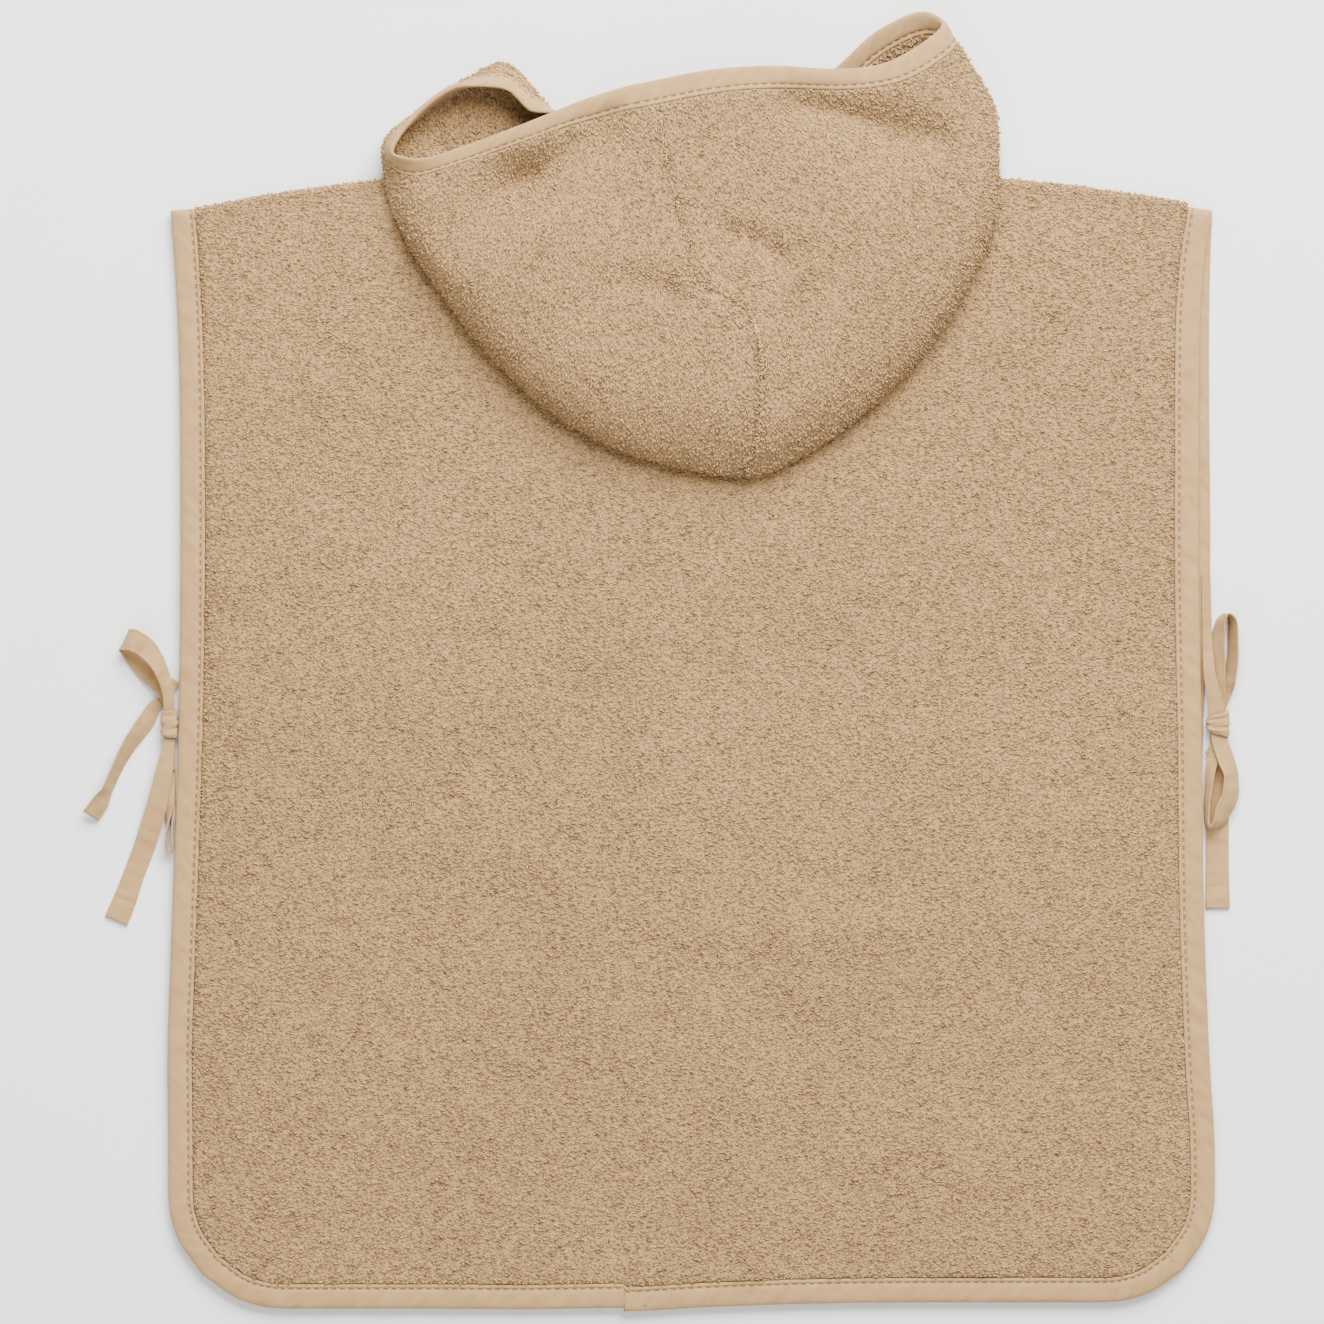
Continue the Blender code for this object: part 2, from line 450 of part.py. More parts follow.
# ---- hood --------------------------------------------------------------------------
def hood_section(row):
    """Points on the middle of the hood's wall, from the neck seam to the face edge."""
    at = dict(zip(HOOD_COLUMNS, row))
    neck = np.array((at["neck_x"], at["neck_y"]))
    fold = np.array((at["fold_x"], at["fold_y"]))
    edge = np.array((at["edge_x"], at["edge_y"]))
    level = max(at["level"], FLOOR_LEVEL)
    reach = np.linalg.norm(fold - neck)
    back = np.linalg.norm(edge - fold)
    under = fold + (neck - fold) * min(FOLD_INSET / reach, INSET_SHARE)
    share = np.interp(at["edge_z"], OVER_SHARE["face edge"], OVER_SHARE["share"])
    over = fold + (edge - fold) * min(FOLD_INSET / back, share)
    peak = np.array((*(fold + CROWN_AT * (edge - fold)), at["crown"]))
    rim = np.array((*edge, at["edge_z"]))
    # a short wall runs straight from its fold to the face edge
    over = np.array((*over, at["fold_top"]))
    room = min(max(np.linalg.norm(rim - peak) / TAPE_WIDTH - TAPE_ROOM, 0.0), 1.0)
    taped = unit(rim - room * peak - (1 - room) * over)
    stitched = rim - TAPE_WIDTH * taped
    peak = room * peak + (1 - room) * (over + (stitched - over) / 3)
    middle, brow = (neck + fold) / 2, (peak + stitched) / 2
    return np.array([(*neck, level), (*middle, level), (*under, level),
                     (*fold, (level + at["fold_top"]) / 2), over, peak, brow, stitched, rim])


def follow_seam(grid):
    """Move the cloth beside the centre seam sideways, so that the seam keeps its course."""
    course = np.array(SEAM_COURSE, float)
    seam, upper = HALF_ROWS - 1, len([line for line in HOOD_LINES if line <= OVER_LINE])
    line = grid[seam, upper:]
    aside = np.interp(line[:, 1], course[:, 1], course[:, 0]) - line[:, 0]
    spacing = np.linalg.norm(np.diff(grid[:, upper:], axis=0), axis=-1)
    along = np.vstack((0 * spacing[:1], np.cumsum(spacing, axis=0)))
    away = (along - along[seam]) / SEAM_REACH
    grid[:, upper:, 0] += aside * np.exp(-away ** 2)


def hood_grid():
    """Middle of the hood's wall and its normals; columns end at the face edge.

    The last columns lie at set distances from that edge, which the tape and the
    terry inside it share.
    """
    table = LEFT_HOOD + RIGHT_HOOD[1:]
    knots = knots_of(table)
    seam, last = len(LEFT_HOOD) - 1, len(table) - 1
    order = [*np.linspace(0, seam, HALF_ROWS), *np.linspace(seam, last, HALF_ROWS)[1:]]
    rows = curve(table, np.interp(order, range(last + 1), knots))
    sections = []
    for row in rows:
        points = hood_section(row)
        marks = knots_of(points)
        lines = np.interp(HOOD_LINES, range(len(points)), marks)
        sections.append(curve(points, [*lines, *(marks[-1] - away for away in FACE_LINES)]))
    grid = np.array(sections)
    follow_seam(grid)
    steps = [*HOOD_LINES, *(FACE_LINE - away / TAPE_WIDTH for away in FACE_LINES)]
    for row, section in zip(rows, grid):
        at = dict(zip(HOOD_COLUMNS, row))
        puffed = min(max(at["crown"] - LEAST_CROWN, 0.0) / LEAST_CROWN, 1.0)
        for column, line in enumerate(steps):
            if line > OVER_LINE:
                swell = puffed * math.sin(math.pi * (line - OVER_LINE) / (FACE_LINE - OVER_LINE))
                section[column, 2] += swell * relief(HOOD_FOLDS, *section[column, :2])
        section[:, 2] = np.maximum(section[:, 2], max(at["level"], FLOOR_LEVEL))
    normals = unit(np.cross(np.gradient(grid, axis=1), np.gradient(grid, axis=0)))
    for axis in (0, 1, 0, 1):
        normals = evened(normals, axis)
    # terry and tape face the same way from the seam between them to the face edge
    lip = len(HOOD_LINES)
    normals[:, lip:] = unit(normals[:, lip:].mean(axis=1, keepdims=True))
    return grid, normals


def hood_half(name, grid, normals):
    """Half of the hood: terry at full thickness, then pressed thin inside the tape."""
    terry_lines = len(HOOD_LINES) + 1
    picks = [(line, TERRY / 2) for line in range(terry_lines)]
    picks += [(TAPE_COLUMN[away], PRESSED / 2) for away in (TAPE_WIDTH, TUCKED)]
    layers = [[[grid[row, line] + side * half * normals[row, line] for line, half in picks]
               for row in range(len(grid))] for side in (1, -1)]
    cloth(name, layers[0], layers[1], "terry")


def hood():
    grid, normals = hood_grid()
    seam = HALF_ROWS - 1
    # each half ends just short of the seam, at its last or its first row
    for name, rows, end, neighbour in (("hood_left", slice(0, seam + 1), -1, -2),
                                       ("hood_right", slice(seam, None), 0, 1)):
        half = grid[rows].copy()
        half[end] += GAP / 2 * unit(half[neighbour] - half[end])
        hood_half(name, half, normals[rows])
    layers = []
    for profile in tape_profile():
        rows = []
        for points, turned in zip(grid, normals):
            row = []
            for away, height in profile:
                column = TAPE_COLUMN[away]
                row.append(points[column] + height * turned[column])
            rows.append(row)
        layers.append(rows)
    cloth("hood_tape", layers[0], layers[1], "tape")


# ---- ties --------------------------------------------------------------------------
def tie(name, rows):
    """Flat tie along a smooth path, turned to the direction given for its width."""
    length = knots_of(rows, 3)[-1]
    stations = curve(rows, np.linspace(0, length, TIE_STATIONS), 3)
    middle, width = stations[:, :3], stations[:, 3]
    heading, rise = np.radians(stations[:, 4]), np.radians(stations[:, 5])
    run = unit(np.gradient(middle, axis=0))
    level = np.cos(rise)
    across = np.column_stack((level * np.cos(heading), level * np.sin(heading), np.sin(rise)))
    across = unit(across - run * np.sum(across * run, axis=1, keepdims=True))
    face = np.cross(run, across)
    soft = TIE_WALL / 2          # how far the tie's edges are rounded

    def rim(row, column):
        side = -1 if column == 0 else 1
        return [middle[row] + side * width[row] / 2 * across[row]]

    flat = (width / 2 - soft)[:, None] * across
    layers = []
    for turned in (1, -1):
        lift = turned * soft * face
        layers.append([(middle[row] - flat[row] + lift[row], middle[row] + flat[row] + lift[row])
                       for row in range(TIE_STATIONS)])
    cloth(name, layers[0], layers[1], "tape", rim)


def knot(name, centre, inside, length):
    """Turn of tie tape round the bundle of a bow."""
    height = KNOT_HEIGHT / 2 - TIE_WALL
    layers = []
    for thickness in (TIE_WALL, 0.0):
        rows = []
        for turn in np.linspace(0, 2 * math.pi, KNOT_TURN, endpoint=False):
            across, up = (math.copysign(abs(part) ** KNOT_SQUARENESS, part)
                          for part in (math.cos(turn), math.sin(turn)))
            row = []
            for along, crown in ((-0.5, KNOT_EDGE), (0.0, 1.0), (0.5, KNOT_EDGE)):
                wall = thickness * crown
                row.append((centre[0] + across * (inside + wall), centre[1] + along * length,
                            KNOT_FLOOR + KNOT_HEIGHT / 2 + up * (height + wall)))
            rows.append(row)
        layers.append(rows)
    cloth(name, layers[0], layers[1], "tape", ring=True)


# ---- whole poncho ------------------------------------------------------------------
def clear_scene():
    for thing in list(bpy.data.objects):
        bpy.data.objects.remove(thing, do_unlink=True)
    collection = bpy.data.collections.new(COLLECTION)
    bpy.context.scene.collection.children.link(collection)


def poncho():
    clear_scene()
    front, back = outline(FRONT_SIDES, FRONT_HEM), outline(BACK_SIDES, BACK_HEM)
    panel("front_panel", front, FRONT_SCOOP, FRONT_BASE, [], on_top=False)
    body_tape("front_tape", front, FRONT_BASE, [], on_top=False)
    panel("back_panel", back, BACK_SCOOP, BACK_BASE, BACK_FOLDS, on_top=True)
    body_tape("back_tape", back, BACK_BASE, BACK_FOLDS, on_top=True)
    hood()
    for name, rows in TIES.items():
        tie(name, rows)
    for side, sizes in KNOTS.items():
        knot(f"knot_{side}", **sizes)


poncho()
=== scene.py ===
import math

import bmesh
import bpy
import numpy as np
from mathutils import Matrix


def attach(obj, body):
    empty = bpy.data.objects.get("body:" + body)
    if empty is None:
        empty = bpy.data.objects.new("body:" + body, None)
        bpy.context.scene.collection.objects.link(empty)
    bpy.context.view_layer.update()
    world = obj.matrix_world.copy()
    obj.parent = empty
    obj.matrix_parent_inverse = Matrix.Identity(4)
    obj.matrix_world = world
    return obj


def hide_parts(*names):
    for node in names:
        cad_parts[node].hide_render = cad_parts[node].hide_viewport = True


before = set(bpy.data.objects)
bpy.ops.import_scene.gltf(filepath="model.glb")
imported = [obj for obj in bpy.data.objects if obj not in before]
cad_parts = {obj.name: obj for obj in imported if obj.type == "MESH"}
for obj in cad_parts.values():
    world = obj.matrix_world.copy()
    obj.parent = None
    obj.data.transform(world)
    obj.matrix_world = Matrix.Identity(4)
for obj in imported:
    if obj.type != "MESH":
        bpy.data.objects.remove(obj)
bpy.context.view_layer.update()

mm = 0.001
print("loaded", len(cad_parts), "solids")

# lengths below are in millimetres on the garment and become metres in the meshes


def alongOf(rows, axes=None):
    steps = np.linalg.norm(np.diff(np.array(rows, float)[:, :axes], axis=0), axis=1)
    return np.concatenate(([0.0], np.cumsum(steps)))


def smoothCurve(rows, places, axes=None):
    # a smooth curve through rows that never overshoots them
    rows = np.array(rows, float)
    knots = alongOf(rows, axes)
    steps = np.diff(knots)[:, None]
    slopes = np.diff(rows, axis=0) / steps
    inner = (slopes[:-1] * steps[1:] + slopes[1:] * steps[:-1]) / (steps[:-1] + steps[1:])
    least = np.minimum(np.abs(slopes[:-1]), np.abs(slopes[1:]))
    sameWay = np.sign(slopes[:-1]) * np.sign(slopes[1:]) > 0
    inner = np.where(sameWay, np.sign(inner) * np.minimum(np.abs(inner), 3 * least), 0.0)
    tangents = np.vstack((slopes[:1], inner, slopes[-1:]))
    index = np.clip(np.searchsorted(knots, places, side="right") - 1, 0, len(steps) - 1)
    span = steps[index]
    t = (np.asarray(places) - knots[index])[:, None] / span
    rise, ease = t * t * (3 - 2 * t), t * (1 - t)
    return ((1 - rise) * rows[index] + rise * rows[index + 1]
            + ease * span * ((1 - t) * tangents[index] - t * tangents[index + 1]))


def unit(vectors):
    return vectors / np.maximum(np.linalg.norm(vectors, axis=-1, keepdims=True), 1e-9)


def evened(values, axis):
    count = values.shape[axis]
    before = values.take([0, *range(count - 1)], axis)
    after = values.take([*range(1, count), count - 1], axis)
    return (before + 2 * values + after) / 4


def slowWaves(x, y, length, seed):
    # smooth uneven waves between -1 and 1, about this long: seven sines
    draw = np.random.default_rng(seed)
    total = 0.0
    for _ in range(7):
        heading, phase = draw.uniform(0, 2 * math.pi, 2)
        pitch = length * draw.uniform(0.7, 1.5)
        place = x * math.cos(heading) + y * math.sin(heading)
        total = total + np.sin(2 * math.pi * place / pitch + phase)
    return total / 3.2


def wavesAlong(along, length, seed):
    return slowWaves(along, 0 * along, length, seed)


def pointsAt(places, marks, points):
    return np.column_stack([np.interp(places, marks, points[:, axis]) for axis in range(3)])


def reliefAt(folds, x, y):
    # rounded ridges and troughs; a fold is start, end, half width, height and how far its crest wanders
    height = np.zeros(np.broadcast(x, y).shape)
    for place, (x0, y0, x1, y1, reach, rise, wander) in enumerate(folds):
        atX = x + wander * slowWaves(x, y, 46, 5 + place)
        atY = y + wander * slowWaves(x, y, 52, 50 + place)
        runX, runY = x1 - x0, y1 - y0
        along = np.clip(((atX - x0) * runX + (atY - y0) * runY) / (runX ** 2 + runY ** 2), 0, 1)
        away = np.hypot(atX - x0 - along * runX, atY - y0 - along * runY) / reach
        height = height + rise * np.exp(-2 * away ** 2)
    return height


def linked(name, data):
    thing = bpy.data.objects.new(name, data)
    bpy.context.scene.collection.objects.link(thing)
    return thing


def mappedPiece(name, data, flat):
    # each point's place on the flat cloth becomes its place on the piece's map
    corners = np.empty(len(data.loops), int)
    data.loops.foreach_get("vertex_index", corners)
    layer = data.uv_layers.new(name="flat")
    layer.uv.foreach_set("vector", (np.array(flat)[corners] * mm).astype(np.float32).ravel())
    data.shade_smooth()
    return linked(name, data)


def clothPiece(name, outer, inner, rim=None, ring=False, spread=None):
    # cloth as a closed wall between two grids
    outer, inner = np.asarray(outer, float), np.asarray(inner, float)
    rows, columns = outer.shape[:2]
    points = [*outer.reshape(-1, 3), *inner.reshape(-1, 3)]
    if spread is None:
        down = np.mean([alongOf(outer[:, column]) for column in range(0, columns, 8)], axis=0)
        across = np.mean([alongOf(outer[row]) for row in range(0, rows, 8)], axis=0)
        spread = np.stack(np.meshgrid(across, down), axis=-1)
    flat = [*spread.reshape(-1, 2)] * 2
    half = rows * columns
    faces = []
    for row in range(rows if ring else rows - 1):
        here, below = row * columns, (row + 1) % rows * columns
        for column in range(columns - 1):
            quad = (here + column, here + column + 1, below + column + 1, below + column)
            faces.append(quad)
            faces.append(tuple(corner + half for corner in reversed(quad)))
    if ring:
        edges = [[(row, column) for row in range(rows)] for column in (0, columns - 1)]
    else:
        edges = [[(0, column) for column in range(columns - 1)]
                 + [(row, columns - 1) for row in range(rows - 1)]
                 + [(rows - 1, column) for column in range(columns - 1, 0, -1)]
                 + [(row, 0) for row in range(rows - 1, 0, -1)]]
    for edge in edges:
        chains = []
        for row, column in edge:
            corner = row * columns + column
            chain = [corner]
            for point in (rim(row, column) if rim else []):
                chain.append(len(points))
                points.append(np.array(point, float))
                flat.append(flat[corner])
            chains.append([*chain, corner + half])
        for here, there in zip(chains, chains[1:] + chains[:1]):
            for step in range(len(here) - 1):
                faces.append((here[step], here[step + 1], there[step + 1], there[step]))
    points = np.array(points)
    points[:, 2] = np.maximum(points[:, 2], 0.0)     # nothing goes into the floor
    data = bpy.data.meshes.new(name)
    data.from_pydata(points * mm, [], faces)
    mesh = bmesh.new()
    mesh.from_mesh(data)
    bmesh.ops.recalc_face_normals(mesh, faces=mesh.faces)
    mesh.to_mesh(data)
    mesh.free()
    return mappedPiece(name, data, flat)


def scatter(name, shape, places, sides, fronts, ups):
    # copies of a small shape, joined; its points are given along sides, fronts and ups
    points, faces = np.array(shape["points"], float), np.array(shape["faces"], int)
    moved = (places[:, None] + points[None, :, :1] * sides[:, None]
             + points[None, :, 1:2] * fronts[:, None] + points[None, :, 2:] * ups[:, None])
    moved[..., 2] = np.maximum(moved[..., 2], 0.1)     # just above the floor
    count, size = len(places), len(points)
    corners = (faces[None] + np.arange(count)[:, None, None] * size).reshape(-1, 3)
    data = bpy.data.meshes.new(name)
    data.vertices.add(count * size)
    data.vertices.foreach_set("co", (moved.reshape(-1, 3) * mm).astype(np.float32).ravel())
    data.loops.add(len(corners) * 3)
    data.loops.foreach_set("vertex_index", corners.ravel())
    data.polygons.add(len(corners))
    data.polygons.foreach_set("loop_start", np.arange(len(corners)) * 3)
    data.update(calc_edges=True)
    data.validate()
    return mappedPiece(name, data, moved.reshape(-1, 3)[:, :2])


class Signal:
    # a socket whose maths is written as it is read
    def __init__(self, finish, socket):
        self.finish, self.socket = finish, socket

    def __add__(self, other):
        return self.finish.maths("ADD", self, other)

    def __sub__(self, other):
        return self.finish.maths("SUBTRACT", self, other)

    def __rsub__(self, other):
        return self.finish.maths("SUBTRACT", other, self)

    def __mul__(self, other):
        return self.finish.maths("MULTIPLY", self, other)

    def __abs__(self):
        return self.finish.maths("ABSOLUTE", self)


class Finish:
    # a material, with one method that adds any node
    def __init__(self, name, roughness, sheen=0.0):
        self.material = bpy.data.materials.new(name)
        self.material.use_nodes = True
        self.tree = self.material.node_tree
        self.shader = self.tree.nodes["Principled BSDF"]
        for socket, value in (("Roughness", roughness), ("Specular IOR Level", 0.25),
                              ("Sheen Weight", sheen), ("Sheen Roughness", 0.6)):
            self.shader.inputs[socket].default_value = value

    def add(self, kind, settings=None, values=None, output=0):
        node = self.tree.nodes.new(kind)
        for key, value in (settings or {}).items():
            setattr(node, key, value)
        for key, value in (values or {}).items():
            self.put(node.inputs[key], value)
        return Signal(self, node.outputs[output])

    def put(self, socket, value):
        if isinstance(value, Signal):
            self.tree.links.new(value.socket, socket)
        else:
            socket.default_value = value

    def maths(self, operation, *values):
        return self.add("ShaderNodeMath", {"operation": operation}, dict(enumerate(values)))

    def clamped(self, value):
        return self.add("ShaderNodeClamp", {}, {"Value": value})

    def mixed(self, factor, first, second):
        values = {0: factor, 6: first, 7: second}
        return self.add("ShaderNodeMix", {"data_type": "RGBA"}, values, output=2)

    def noise(self, where, scale, detail=2.0, distortion=0.0):
        values = {"Vector": where, "Scale": scale, "Detail": detail, "Distortion": distortion}
        return self.add("ShaderNodeTexNoise", {}, values)

    def painted(self, colour):
        self.put(self.shader.inputs["Base Color"], colour)

    def bumped(self, height, distance):
        bump = self.add("ShaderNodeBump", {}, {"Height": height, "Distance": distance})
        self.put(self.shader.inputs["Normal"], bump)


def shade(red, green, blue):
    # a colour given as it is seen, from 0 to 255
    return tuple(((part / 255 + 0.055) / 1.055) ** 2.4 for part in (red, green, blue)) + (1.0,)


# the lighter and the darker tone of each; on the terry and hood the darker tone is painted shade in the
# hollows between the curls, and their ground is painted darker than the loops as shade between them
colours = {
    "terry": (shade(181, 145, 98), shade(102, 77, 49)),
    "hood": (shade(180, 144, 97), shade(102, 77, 49)),
    "loop": (shade(214, 175, 120), shade(110, 88, 59)),
    "tape": (shade(182, 147, 99), shade(155, 121, 76)),
    "thread": (shade(200, 174, 136), shade(172, 144, 106)),
}

# a noise is given by its scale, detail and distortion
terryLook = {
    "roughness": 0.95, "sheen": 0.05,
    "curls": (480, 1.5, 0.7), "grain": (1100,), "patches": (9, 3.0), "mottle": (38,),
    "curlEdge": 5.0, "curlHeight": 0.7, "grainHeight": 0.3,
    "patchTone": 0.24, "mottleTone": 0.16, "leastTone": 0.8,
}


def terryFinish(name, stretch, tones, depth):
    look = terryLook
    finish = Finish(name, look["roughness"], look["sheen"])
    spot = finish.add("ShaderNodeTexCoord", output=3)
    spot = finish.add("ShaderNodeMapping", {}, {"Vector": spot, "Scale": stretch})
    curls, grain = finish.noise(spot, *look["curls"]), finish.noise(spot, *look["grain"])
    patches, mottle = finish.noise(spot, *look["patches"]), finish.noise(spot, *look["mottle"])
    ridge = finish.clamped(1 - abs(curls - 0.5) * look["curlEdge"])
    height = ridge * look["curlHeight"] + grain * look["grainHeight"]
    light, dark = colours[tones]
    # where the curls are low the colour goes to the darker tone: painted shade in the hollows between the
    # curls and loops
    colour = finish.mixed(height, dark, light)
    tone = patches * look["patchTone"] + mottle * look["mottleTone"] + look["leastTone"]
    finish.painted(finish.add("ShaderNodeHueSaturation", {}, {"Color": colour, "Value": tone}))
    finish.bumped(height, depth)
    return finish.material


wovenLook = {
    "roughness": 0.82, "sheen": 0.06, "depth": 0.00016,
    "threads": {"Scale": 700, "Distortion": 1.5, "Detail": 1.0, "Detail Scale": 1.2},
    # the wrinkles noise paints the shade of faint slanting wrinkles into the tint
    "slub": (160, 3.0, 0.4), "mottle": (22,), "wrinkles": (230, 1.0), "wrinkleShadeStretch": (0.3, 1.0, 1.0),
    "slubTint": 0.3, "mottleTint": 0.25, "weaveTint": 0.15, "wrinkleShadeTint": 1.1, "leastTint": 0.15,
}


def wovenTintAndShade(finish, turn):
    # plain weave whose threads run at this angle to the tape's length, with painted shade of faint
    # slanting wrinkles in its tint
    look = wovenLook
    spot = finish.add("ShaderNodeTexCoord", output=2)
    spot = finish.add("ShaderNodeMapping", {}, {"Vector": spot, "Rotation": (0, 0, turn)})
    threads = []
    for direction in ("X", "Y"):
        settings = {"wave_type": "BANDS", "bands_direction": direction, "wave_profile": "SIN"}
        threads.append(finish.add("ShaderNodeTexWave", settings, {"Vector": spot, **look["threads"]}))
    weave = threads[0] * 0.5 + threads[1] * 0.5
    slub, mottle = finish.noise(spot, *look["slub"]), finish.noise(spot, *look["mottle"])
    slant = finish.add("ShaderNodeMapping", {}, {"Vector": spot, "Scale": look["wrinkleShadeStretch"]})
    # painted shade of slanting wrinkles, mixed with the cloth's own slub, mottle and weave
    wrinkleShading = finish.noise(slant, *look["wrinkles"]) - 0.5
    tintAndShade = (slub * look["slubTint"] + mottle * look["mottleTint"] + weave * look["weaveTint"]
            + wrinkleShading * look["wrinkleShadeTint"] + look["leastTint"])
    return tintAndShade, weave * 0.5 + slub * 0.5


def wovenFinish(name, tones, turn):
    finish = Finish(name, wovenLook["roughness"], wovenLook["sheen"])
    tintAndShade, height = wovenTintAndShade(finish, turn)
    light, dark = colours[tones]
    finish.painted(finish.mixed(tintAndShade, dark, light))
    finish.bumped(height, wovenLook["depth"])
    return finish.material


stitchedLook = {
    "dipShadowColour": shade(112, 84, 54), "depth": 0.0005, "weaveHeight": 0.35, "dipHeight": 0.65,
    # how far from a stitch's middle the dip begins, as a share of the pitch, and how sharply
    "dipFrom": 0.2, "dipStart": 9.0, "dipWidth": 1.5, "dipEdge": 1.9,
    "lineEdge": 0.9, "lineShadow": 0.22, "dipShadow": 0.5,
}


def stitchedFinish(name, tones, fold, stitchAt, pitch):
    # bias tape with the dips between its stitches, both sides of its fold; the stitch line and the dips
    # are darkened with painted shadow
    look = stitchedLook
    finish = Finish(name, wovenLook["roughness"], wovenLook["sheen"])
    tintAndShade, height = wovenTintAndShade(finish, math.pi / 4)
    spot = finish.add("ShaderNodeTexCoord", output=2)
    across = finish.add("ShaderNodeSeparateXYZ", {}, {"Vector": spot})
    along = Signal(finish, across.socket.node.outputs["Y"])
    fromLine = abs(abs(across - fold * mm) - (fold - stitchAt) * mm)
    between = abs(finish.maths("FRACT", along * (1 / (pitch * mm))) - 0.5)
    dip = (finish.clamped((between - look["dipFrom"]) * look["dipStart"])
           * finish.clamped(look["dipWidth"] - fromLine * (look["dipEdge"] / mm)))
    # painted shadow along the stitched line and in the dips between the stitches
    lineShadowMask = finish.clamped(1.0 - fromLine * (look["lineEdge"] / mm))
    shadow = lineShadowMask * look["lineShadow"] + dip * look["dipShadow"]
    light, dark = colours[tones]
    finish.painted(finish.mixed(shadow, finish.mixed(tintAndShade, dark, light), look["dipShadowColour"]))
    finish.bumped(height * look["weaveHeight"] - dip * look["dipHeight"], look["depth"])
    return finish.material


finishes = {
    "terry": terryFinish("terry body", (0.75, 1.25, 1.0), "terry", 0.0006),
    "loops": terryFinish("terry loops", (0.9, 1.1, 1.0), "loop", 0.0002),
    "hoodLoops": terryFinish("hood loops", (1.1, 0.9, 1.0), "loop", 0.0002),
    "hoodTerry": terryFinish("terry hood", (1.3, 0.8, 1.0), "hood", 0.0006),
    "tie": wovenFinish("tie tape", "tape", 0.0),
    "thread": wovenFinish("sewing thread", "thread", 0.6),
}


def dress(piece, finish, node=None):
    piece.data.materials.append(finishes[finish])
    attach(piece, "root")
    if node:
        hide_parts(node)
    return piece


print("finishes made")

# body: two terry panels, bound at their sides and hems

bodyCut = {
    "gap": 0.3, "terry": 3.2, "pressed": 0.25, "shoulderRound": 3.2,
    "neckX": (-108.0, 142.0), "neckY": 243.0,
    "shoulderFall": (15.5, 13.5), "shoulderLength": (121.0, 120.0), "shoulderCurve": 1.5,
    "corner": (58.0, 55.0),
    # first grid lines, measured down the tape from its end
    "topRows": (0.0, 0.6, 1.2, 2.2, 3.4, 4.6),
}
# sides are given with their tape: height on the garment, left edge, right edge
panelCuts = {
    "front": {
        "base": 0.0, "scoop": 30.0, "step": 9.0, "across": 61, "folds": [],
        "sides": [(225.5, -244.5, 275), (200, -242.2, 274), (150, -239.6, 273.4), (60, -239, 274),
                  (-30, -240, 270.6), (-140, -243.8, 269.6), (-200, -245.5, 272), (-250, -245, 274.6)],
        "hem": [(-120, -321.5), (-19, -322), (20, -320.6), (90, -318.6), (160, -318.2)],
    },
    "back": {
        "base": 3.5, "scoop": 8.0, "step": 4.4, "across": 119,
        "sides": [(225.5, -245.5, 275), (200, -243.5, 271), (150, -241.2, 268.4), (60, -240.5, 268.2),
                  (-30, -241.5, 269.6), (-140, -245.2, 271.2), (-200, -247, 273.6),
                  (-250, -246.6, 276.2)],
        "hem": [(-120, -323), (-19, -324.4), (20, -322.4), (90, -320.2), (160, -319.8)],
        "folds": [
            (-172, 140, -213, 38, 17, 3.6, 0), (-213, 38, -211, -30, 15, 1.9, 0),
            (-150, 222, -164, 165, 14, 3, 0), (200, 205, 186, 160, 15, 2.8, 0),
            (20, -134, 119, -132, 16, 1.7, 0), (-130, -92, -60, -96, 18, 1, 0),
            (189, -79, 245, -76, 15, 1, 0), (-205, -226, -120, -232, 18, 1, 0),
            (120, -238, 205, -222, 20, 1.1, 0),
        ],
    },
}
# where the tape's two ends overlap in the back hem, the left one a little higher
joinCut = {
    "at": -19.1, "step": 1.7, "fade": 42.0, "below": -300.0,
    "lines": (-1.3, -0.7, -0.35, 0.0, 0.35, 0.7, 1.3),
    "doubledAt": 4.5, "doubledReach": 6.0, "doubled": 0.32, "groove": 0.6, "grooveReach": 0.55,
}


def topLine(x, scoop):
    for side, sign in ((0, -1), (1, 1)):
        away = sign * (x - bodyCut["neckX"][side])
        if away > 0:
            share = away / bodyCut["shoulderLength"][side]
            return bodyCut["neckY"] - bodyCut["shoulderFall"][side] * share ** bodyCut["shoulderCurve"]
    low, high = bodyCut["neckX"]
    return bodyCut["neckY"] - scoop * (1 - ((x - (low + high) / 2) / ((high - low) / 2)) ** 2)


def hemCorner(sideX, hemY, radius, sign):
    turns = np.radians((0, 22.5, 45, 67.5, 90))
    return [(sideX + sign * radius * (1 - math.cos(turn)), hemY + radius * (1 - math.sin(turn)))
            for turn in turns]


def outlineRuns(sides, hem):
    left = [(x, y) for y, x, _ in sides]
    right = [(x, y) for y, _, x in reversed(sides)]
    leftArc = hemCorner(left[-1][0], hem[0][1], bodyCut["corner"][0], 1)
    rightArc = hemCorner(right[0][0], hem[-1][1], bodyCut["corner"][1], -1)[::-1]
    return left + leftArc[:3], leftArc[2:] + hem + rightArc[:3], (rightArc[2:] + right)[::-1]


def stepped(path):
    left = np.maximum(joinCut["at"] - path[:, 0], 0.0)
    inHem = (path[:, 1] < joinCut["below"]) & (left > 0)
    rise = joinCut["step"] * inHem * np.exp(-(left / joinCut["fade"]) ** 2)
    return path + np.column_stack((0 * left, rise))


